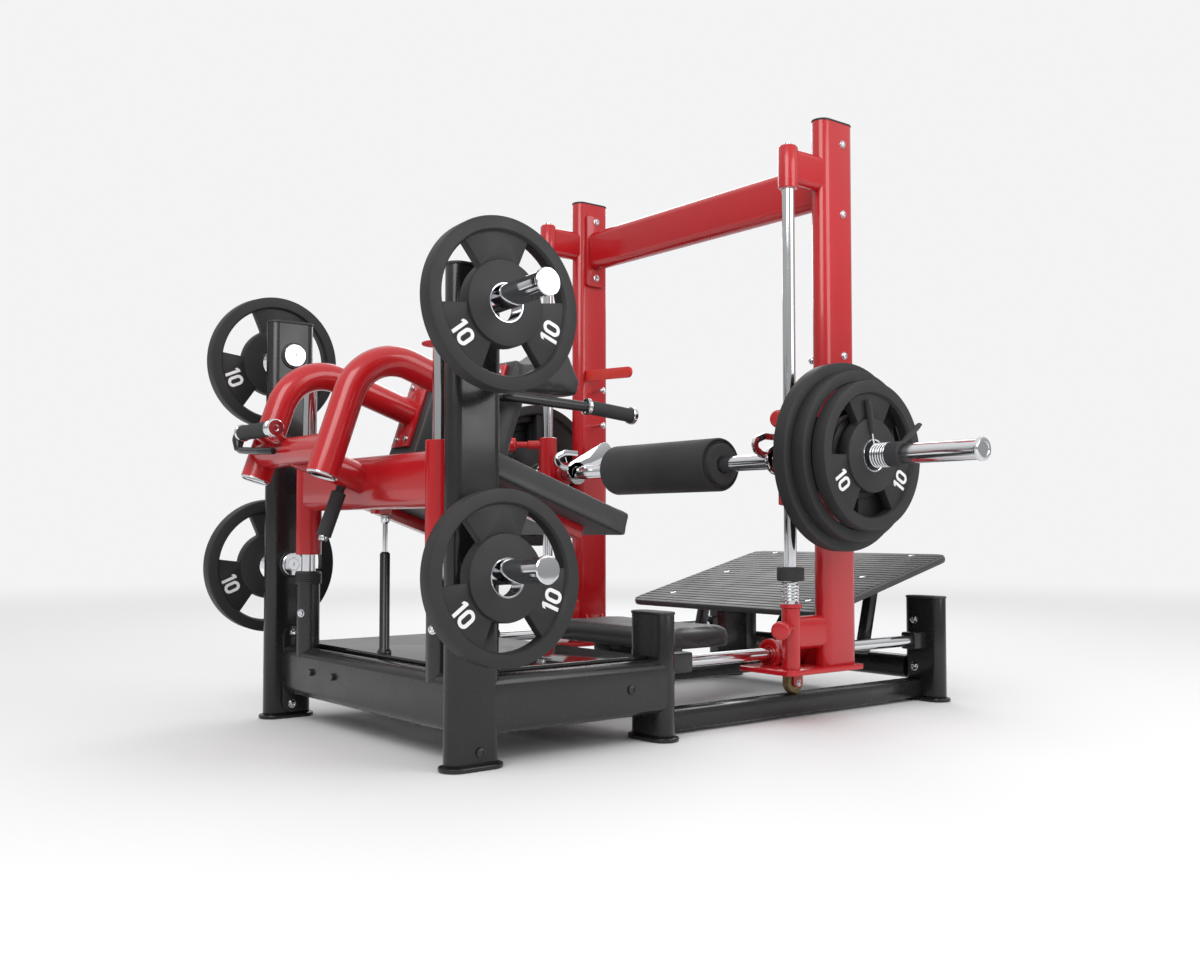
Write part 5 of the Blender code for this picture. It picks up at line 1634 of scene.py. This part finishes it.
    def steel(self, side: int) -> Shape:
        """Ladder pegs, bolts and the wheel's axle."""
        steel = Shape()
        inner = side * (self.upright_x - self.tube_half)
        tip = side * self.peg_tip
        for height in self.peg_heights:
            profile = [
                (0, inner + side * 0.004), (0.0050, inner + side * 0.004), (0.0065, tip + side * 0.014),
            ]
            for step in range(9):
                angle = math.radians(35 + 145 * step / 8)
                along = tip + side * (0.0098 + 0.0098 * math.cos(angle))
                profile.append((max(0.0, 0.0098 * math.sin(angle)), along))
            profile[-1] = (0, tip)
            steel.add(Shape.turned(profile, Axis.X, (self.upright_y, height), 32))
        out = side * (self.upright_x + self.tube_half)
        for height in (1.431, 1.255, 0.901):
            steel.add(Shape.bolt((out, self.upright_y + 0.012, height), (side, 0, 0), 0.0100))
        plate = side * (self.upright_x - 0.0355)
        for height in (1.428, 1.2515):
            steel.add(Shape.bolt((plate, self.upright_y, height), (-side, 0, 0), 0.0105))
        for lug in (-1, 1):
            place = (side * TRACK_X + lug * 0.0195, self.wheel_y, self.wheel_z)
            steel.add(Shape.bolt(place, (lug, 0, 0), 0.0080))
        return steel

    def cap(self, side: int) -> Shape:
        """The domed cap of an upright."""
        top = self.upright_top
        return Shape.oval(
            Axis.Z, (side * self.upright_x, self.upright_y), 0.053, 0.123, top - 0.006, top, 0.0028,
        )

    def top_beam(self) -> Shape:
        """Beam between the uprights with its end plates."""
        reach = self.upright_x - 0.0253
        beam = Shape.oval(Axis.X, (self.upright_y, self.top_beam_z), 0.050, 0.120, -reach, reach)
        for side in SIDES.values():
            ends = sorted((side * reach, side * (reach - 0.010)))
            beam.add(
                Shape.panel(
                    Axis.X, (self.upright_y, self.top_beam_z), (0.070, 0.222), 0.010, *ends, 0.0015,
                )
            )
        return beam

    def guide_rod(self, side: int) -> Shape:
        """The chrome rod that the bar's slider runs on."""
        r = self.rod_radius
        profile = [
            (0, 0.150), (r, 0.150), (r, 1.3960), (0.0078, 1.3961), (0.0078, 1.4070), (0.0068, 1.4080),
            (0, 1.4080),
        ]
        return Shape.turned(profile, Axis.Z, (side * self.upright_x, self.rod_y), 48)

    def wheel(self, side: int) -> Shape:
        """The track wheel with its hub recess."""
        x = side * TRACK_X
        r = self.wheel_radius
        profile = [
            (0.0065, x - 0.0115), (0.011, x - 0.0115), (0.012, x - 0.0095), (0.019, x - 0.0095),
            (0.020, x - 0.0115), (r - 0.003, x - 0.0115), (r - 0.0008, x - 0.0098), (r, x - 0.0075),
            (r, x + 0.0075), (r - 0.0008, x + 0.0098), (r - 0.003, x + 0.0115), (0.020, x + 0.0115),
            (0.019, x + 0.0095), (0.012, x + 0.0095), (0.011, x + 0.0115), (0.0065, x + 0.0115),
        ]
        return Shape.turned(profile, Axis.X, (self.wheel_y, self.wheel_z), 48)

    def bumper(self, side: int) -> Shape:
        """The rubber bumper on the guide rod."""
        low, high = 0.3485, 0.3818
        profile = [
            (0.0158, low), (0.0295, low), (0.0318, low + 0.0015), (0.0325, low + 0.004),
            (0.0325, high - 0.004), (0.0318, high - 0.0015), (0.0295, high), (0.020, high),
            (0.019, high - 0.0015), (0.0158, high - 0.0015),
        ]
        return Shape.turned(profile, Axis.Z, (side * self.upright_x, self.rod_y), 48)

    def spring(self, side: int) -> Shape:
        """The coil between the foot's socket and the bumper."""
        turns, wire, reach = 6, 0.0025, 0.0200
        low, high = self.spring_low + wire, self.spring_high - wire
        steps = turns * 28
        route = []
        for step in range(steps + 1):
            angle = math.tau * step / 28
            x = side * self.upright_x + reach * math.cos(angle)
            y = self.rod_y + reach * math.sin(angle)
            route.append((x, y, low + (high - low) * step / steps))
        return Shape.tube(route, wire, 10)


@dataclass
class BarGroup:
    """The guided bar with its sliders, hooks, plates, collars and foam roller."""

    gantry: Gantry
    bar_y: float = 0.905
    bar_z: float = 0.640
    bar_radius: float = 0.020
    half_length: float = 0.996
    sleeve_radius: float = 0.023
    shoulder_x: float = 0.565
    hook_x: float = 0.405
    plate_ends: tuple[float, ...] = (0.599, 0.634, 0.6695, 0.7075)
    big_radius: float = 0.220
    middle_radius: float = 0.197
    plate_bore: float = 0.0236
    plate_liner: float = 0.0350
    slider_knob_z: float = 0.727
    coil_start: float = 0.7105
    coil_turns: int = 6
    coil_pitch: float = 0.0072
    grip_angles: Pair = (1.75, 0.62)

    def build(self, shop: Workshop) -> None:
        """Builds every piece that rises with the bar."""
        axis = (0, self.bar_y, self.bar_z)
        inner, second, third, outer = self.plate_ends
        turn = math.radians(-30)
        thin = GRIP_PLATE_THICKNESS
        plates = (
            ("big", self.plate(self.big_radius, second - inner, turn), (inner + second) / 2),
            ("middle", self.plate(self.middle_radius, third - second - 0.0004, turn), (second + third) / 2),
            ("small", self.plate(GRIP_PLATE_RADIUS, thin, math.radians(1.5)), outer - thin / 2),
        )
        shop.stand_in(self.bar(), "bar", CHROME_PLATE, "bar")
        shop.stand_in(self.roller(), "roller", ROLLER_FOAM, "roller")
        for name, side in SIDES.items():
            shop.stand_in(self.slider(side), f"slider_{name}", RED_LACQUER, "lift")
            shop.publish(self.slider_steel(side), f"slider_{name}_bearing", CHROME_PLATE, "lift")
            knob = self.gantry.knob(side, self.slider_knob_z, 0.062)
            shop.stand_in(knob, f"slider_knob_{name}", RED_LACQUER, f"slider_knob_{name}")
            shop.stand_in(self.hook(side), f"hook_{name}", CHROME_PLATE, "bar")
            for kind, plate, x in plates:
                spot = (side * x, axis[1], axis[2])
                rubber = plate.body().add(plate.bush()).move(spot)
                nodes = [] if kind == "middle" else [f"{kind}_plate_{name}"]
                shop.publish(
                    rubber, f"{kind}_plate_{name}_looks", PLATE_RUBBER, "bar", nodes, PLATE_SMOOTH,
                )
                shop.publish(
                    plate.lining().move(spot), f"{kind}_plate_{name}_ring", CHROME_PLATE, "bar",
                )
                if kind == "small":
                    shop.publish(
                        plate.numbers().move(spot), f"{kind}_plate_{name}_numbers", NUMBER_INK, "bar",
                    )
            shop.publish(self.collar_coil(side), f"collar_{name}_coil", CHROME_PLATE, "bar")
            shop.publish(self.collar_grips(side), f"collar_{name}_grips", GRIP_RUBBER, "bar")

    def plate(self, radius: float, thickness: float, spin: float) -> WeightPlate:
        """A plate with a wide lining round the bore that takes the bar's sleeve."""
        return WeightPlate(radius, thickness, self.plate_bore, self.plate_liner, spin)

    def bar(self) -> Shape:
        """The bar with its shoulders, sleeves and capped ends."""
        s, h, r = self.shoulder_x, self.half_length, self.sleeve_radius
        half = [
            (self.bar_radius, s), (0.0345, s), (0.036, s + 0.0015), (0.036, s + 0.0175),
            (0.0345, s + 0.019), (r, s + 0.0195), (r, h - 0.012), (r + 0.0015, h - 0.0115),
            (r + 0.0025, h - 0.0105), (r + 0.0025, h - 0.003), (r + 0.0012, h - 0.0008), (r - 0.002, h),
            (r - 0.006, h), (r - 0.0068, h - 0.0015), (0, h - 0.0015),
        ]
        return Shape.turned(mirrored(half) + half, Axis.X, (self.bar_y, self.bar_z), 56)

    def roller(self) -> Shape:
        """The foam roller with its stepped ends."""
        end, r = 0.220, 0.070
        half = [
            (r, end - 0.015), (r - 0.0008, end - 0.0125), (r - 0.0030, end - 0.0112),
            (r - 0.0045, end - 0.0115), (r - 0.0055, end - 0.0165), (r - 0.0150, end - 0.0165),
            (r - 0.0160, end - 0.0035), (r - 0.0172, end - 0.0008), (r - 0.0200, end), (0.0260, end),
            (0.0235, end - 0.0015), (0.0210, end - 0.004),
        ]
        return Shape.turned(mirrored(half) + half, Axis.X, (self.bar_y, self.bar_z), 72)

    def slider(self, side: int) -> Shape:
        """Sleeve on the guide rod with the bar's bearing housing."""
        x = side * self.gantry.upright_x
        tube = [
            (0.0158, 0.530), (0.026, 0.530), (0.0275, 0.5315), (0.0275, 0.7465), (0.026, 0.748),
            (0.0158, 0.748),
        ]
        slider = Shape.turned(tube, Axis.Z, (x, self.gantry.rod_y), 48)
        housing = [
            (0.021, side * 0.455), (0.0325, side * 0.455), (0.034, side * 0.4565),
            (0.034, side * 0.5245), (0.0325, side * 0.526), (0.021, side * 0.526),
        ]
        slider.add(Shape.turned(housing, Axis.X, (self.bar_y, self.bar_z), 48))
        low = (x - 0.022, self.gantry.rod_y, self.bar_z - 0.030)
        slider.add(Shape.block(low, (x + 0.022, self.bar_y, self.bar_z + 0.030), 0.003))
        return slider.add(self.gantry.barrel(side, self.slider_knob_z, 0.0617))

    def slider_steel(self, side: int) -> Shape:
        """Bearing rings at the ends of a slider."""
        x = side * self.gantry.upright_x
        steel = Shape()
        for z in (0.5285, 0.7465):
            ring = [
                (0.0155, z), (0.0215, z), (0.0225, z + 0.0008), (0.0225, z + 0.0022),
                (0.0215, z + 0.003), (0.0155, z + 0.003),
            ]
            steel.add(Shape.turned(ring, Axis.Z, (x, self.gantry.rod_y), 40))
        return steel

    def hook(self, side: int) -> Shape:
        """Flat chrome hook: hub, catching arm and curled finger."""
        y, z = self.bar_y, self.bar_z
        ends = sorted((side * (self.hook_x - 0.005), side * (self.hook_x + 0.005)))
        hub = [
            (0.0203, ends[0]), (0.033, ends[0]), (0.034, ends[0] + 0.001), (0.034, ends[1] - 0.001),
            (0.033, ends[1]), (0.0203, ends[1]),
        ]
        hook = Shape.turned(hub, Axis.X, (y, z), 48)
        start, end = Vector((-0.0093, 0.0092)), Vector((0.1040, 0.0696))
        along = end - start
        arm = Shape.oval(Axis.X, (along.length / 2, 0), along.length + 0.055, 0.055, *ends, 0.0012)
        hook.add(arm.turn(math.atan2(along.y, along.x), "X").move((0, y + start.x, z + start.y)))
        curl = [
            (-0.020, 0.010), (-0.054, 0.0155), (-0.0765, 0.0300), (-0.073, 0.0490), (-0.044, 0.0600),
            (0.001, 0.0585),
        ]
        route = bent([(0, y + a, z + b) for a, b in curl], 0.014, 6)
        return hook.add(Shape.slab(Axis.X, self.ribbon(route, 0.0080), *ends, 0.0012))

    def ribbon(self, route: Sequence[Vector], half: float) -> list[Pair]:
        """The outline of an even band along a path in the plane across X.

        Args:
            route: The band's middle line.
            half: Half of its width.

        Returns:
            The corners of the outline.
        """
        near, far = [], []
        for index, point in enumerate(route):
            ahead = route[min(index + 1, len(route) - 1)] - route[max(index - 1, 0)]
            side = Vector((0, -ahead.z, ahead.y)).normalized() * half
            near.append(((point + side).y, (point + side).z))
            far.append(((point - side).y, (point - side).z))
        return near + far[::-1]

    def collar_coil(self, side: int) -> Shape:
        """The wire coil of a spring collar, with its two ends bent up."""
        wire, reach, bend = 0.0027, self.sleeve_radius + 0.0031, 0.062
        first, last = self.grip_angles
        start, turns = self.coil_start, self.coil_turns
        route = [self.collar_point(side, start - 0.001, bend, first)]
        steps = turns * 30 + 5
        for step in range(steps + 1):
            angle = first - math.tau * step / 30
            route.append(self.collar_point(side, start + self.coil_pitch * step / 30, reach, angle))
        route.append(self.collar_point(side, start + self.coil_pitch * turns + 0.002, bend, last))
        return Shape.tube(route, wire, 10)

    def collar_point(self, side: int, x: float, reach: float, angle: float) -> Triple:
        """A point of a collar by its place along the bar, its radius and its angle from +Y."""
        return side * x, self.bar_y + reach * math.cos(angle), self.bar_z + reach * math.sin(angle)

    def collar_grips(self, side: int) -> Shape:
        """The two moulded finger grips and the sleeve of a spring collar."""
        grips = Shape()
        for x, angle, end in zip((0.7095, 0.7565), self.grip_angles, (0.129, 0.126)):
            root = Vector(self.collar_point(side, x, 0.050, angle))
            tip = Vector(self.collar_point(side, x, end, angle))
            route = [root.lerp(tip, step / 6) for step in range(7)]
            grips.add(
                Shape.tube(route, [0.0065, 0.0085, 0.0090, 0.0092, 0.0094, 0.0092, 0.0072], 24, 0.6)
            )
        band = [
            (0.0233, side * 0.752), (0.0270, side * 0.752), (0.0282, side * 0.7535),
            (0.0282, side * 0.7885), (0.0270, side * 0.790), (0.0233, side * 0.790),
        ]
        return grips.add(Shape.turned(band, Axis.X, (self.bar_y, self.bar_z), 40))


@dataclass
class Studio:
    """Camera, soft lamps, pale floor and background."""

    eye: Triple = (2.4624, -1.299, 0.4718)
    heading: Triple = (-0.7803, 0.6241, 0.0408)
    lens: float = 36.2202
    backdrop: Triple = (0.90, 0.90, 0.91)

    def build(self, shift: Vector) -> None:
        """Sets up the whole studio."""
        self.camera(shift)
        self.lamps()
        self.floor()
        self.world()
        bpy.context.scene.view_settings.view_transform = "Standard"

    def camera(self, shift: Vector) -> None:
        """Stands the camera where the photograph was taken."""
        data = bpy.data.cameras.new("camera")
        data.lens = self.lens
        data.sensor_width = 36.0
        data.sensor_fit = "HORIZONTAL"
        camera = bpy.data.objects.new("camera", data)
        camera.location = Vector(self.eye) + shift
        camera.rotation_euler = Vector(self.heading).to_track_quat("-Z", "Y").to_euler()
        bpy.context.scene.collection.objects.link(camera)
        bpy.context.scene.camera = camera

    def lamps(self) -> None:
        """Three broad soft lamps."""
        plan = (
            ("key_lamp", (2.2, -3.2, 3.4), 2.6, 95.0),
            ("fill_lamp", (3.6, 1.2, 2.4), 2.4, 55.0),
            ("back_lamp", (-3.0, 2.6, 3.0), 2.4, 50.0),
        )
        for name, place, size, power in plan:
            data = bpy.data.lights.new(name, "AREA")
            data.shape = "SQUARE"
            data.size = size
            data.energy = power
            lamp = bpy.data.objects.new(name, data)
            lamp.location = place
            lamp.rotation_euler = (
                Vector((0, 0, 0.6)) - Vector(place)
            ).to_track_quat("-Z", "Y").to_euler()
            bpy.context.scene.collection.objects.link(lamp)

    def floor(self) -> None:
        """A wide pale floor that fades into the background far from the machine."""
        work = bmesh.new()
        bmesh.ops.create_grid(work, x_segments=4, y_segments=4, size=40.0)
        mesh = bpy.data.meshes.new("floor")
        work.to_mesh(mesh)
        work.free()
        floor = bpy.data.objects.new("floor", mesh)
        bpy.context.scene.collection.objects.link(floor)
        made = bpy.data.materials.new("floor_pale")
        made.use_nodes = True
        tree = made.node_tree
        shader = tree.nodes["Principled BSDF"]
        shader.inputs["Base Color"].default_value = (0.78, 0.78, 0.79, 1.0)
        shader.inputs["Roughness"].default_value = 0.75
        glow = add_node(tree, "Emission", {"Color": (*self.backdrop, 1.0)})
        reach = add_node(tree, "VectorMath", feeds={0: add_node(tree, "TexCoord").outputs["Object"]})
        reach.operation = "LENGTH"
        fade = add_node(
            tree, "MapRange", {"From Min": 2.0, "From Max": 9.0}, {"Value": reach.outputs["Value"]},
        )
        fade.interpolation_type = "SMOOTHSTEP"
        blend = {0: fade.outputs["Result"], 1: shader.outputs[0], 2: glow.outputs[0]}
        mix = add_node(tree, "MixShader", feeds=blend)
        tree.links.new(mix.outputs[0], tree.nodes["Material Output"].inputs["Surface"])
        mesh.materials.append(made)

    def world(self) -> None:
        """A soft surround, brighter overhead, behind the plain pale background that the camera sees."""
        world = bpy.data.worlds.new("surround")
        bpy.context.scene.world = world
        world.use_nodes = True
        tree = world.node_tree
        tree.nodes.clear()
        split = add_node(
            tree, "SeparateXYZ", feeds={0: add_node(tree, "TexCoord").outputs["Generated"]},
        )
        span = {"From Min": -0.1, "From Max": 0.9, "To Min": 0.34, "To Max": 0.95}
        ramp = add_node(tree, "MapRange", span, {"Value": split.outputs["Z"]})
        ramp.interpolation_type = "SMOOTHSTEP"
        white = (1.0, 1.0, 1.0, 1.0)
        light = add_node(tree, "Background", {"Color": white}, {"Strength": ramp.outputs["Result"]})
        seen = add_node(tree, "Background", {"Color": (*self.backdrop, 1.0)})
        ray = add_node(tree, "LightPath").outputs["Is Camera Ray"]
        mix = add_node(tree, "MixShader", feeds={0: ray, 1: light.outputs[0], 2: seen.outputs[0]})
        add_node(tree, "OutputWorld", feeds={"Surface": mix.outputs[0]})


def main() -> None:
    """Builds the looks of the whole machine."""
    logging.basicConfig(level=logging.INFO, format="%(message)s")
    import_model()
    low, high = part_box("column_left")
    shift = Vector((0.0, (low.y + high.y) / 2, 0.0))
    shop = Workshop(shift)
    Studio().build(shift)
    rest = BackRest()
    gantry = Gantry()
    BaseFrame().build(shop)
    FootPlate().build(shop)
    PlateStorage().build(shop)
    rest.build(shop)
    Upholstery(rest).build(shop)
    gantry.build(shop)
    BarGroup(gantry).build(shop)
    log.info("%d pieces", len(shop.made))


if __name__ == "__main__":
    main()
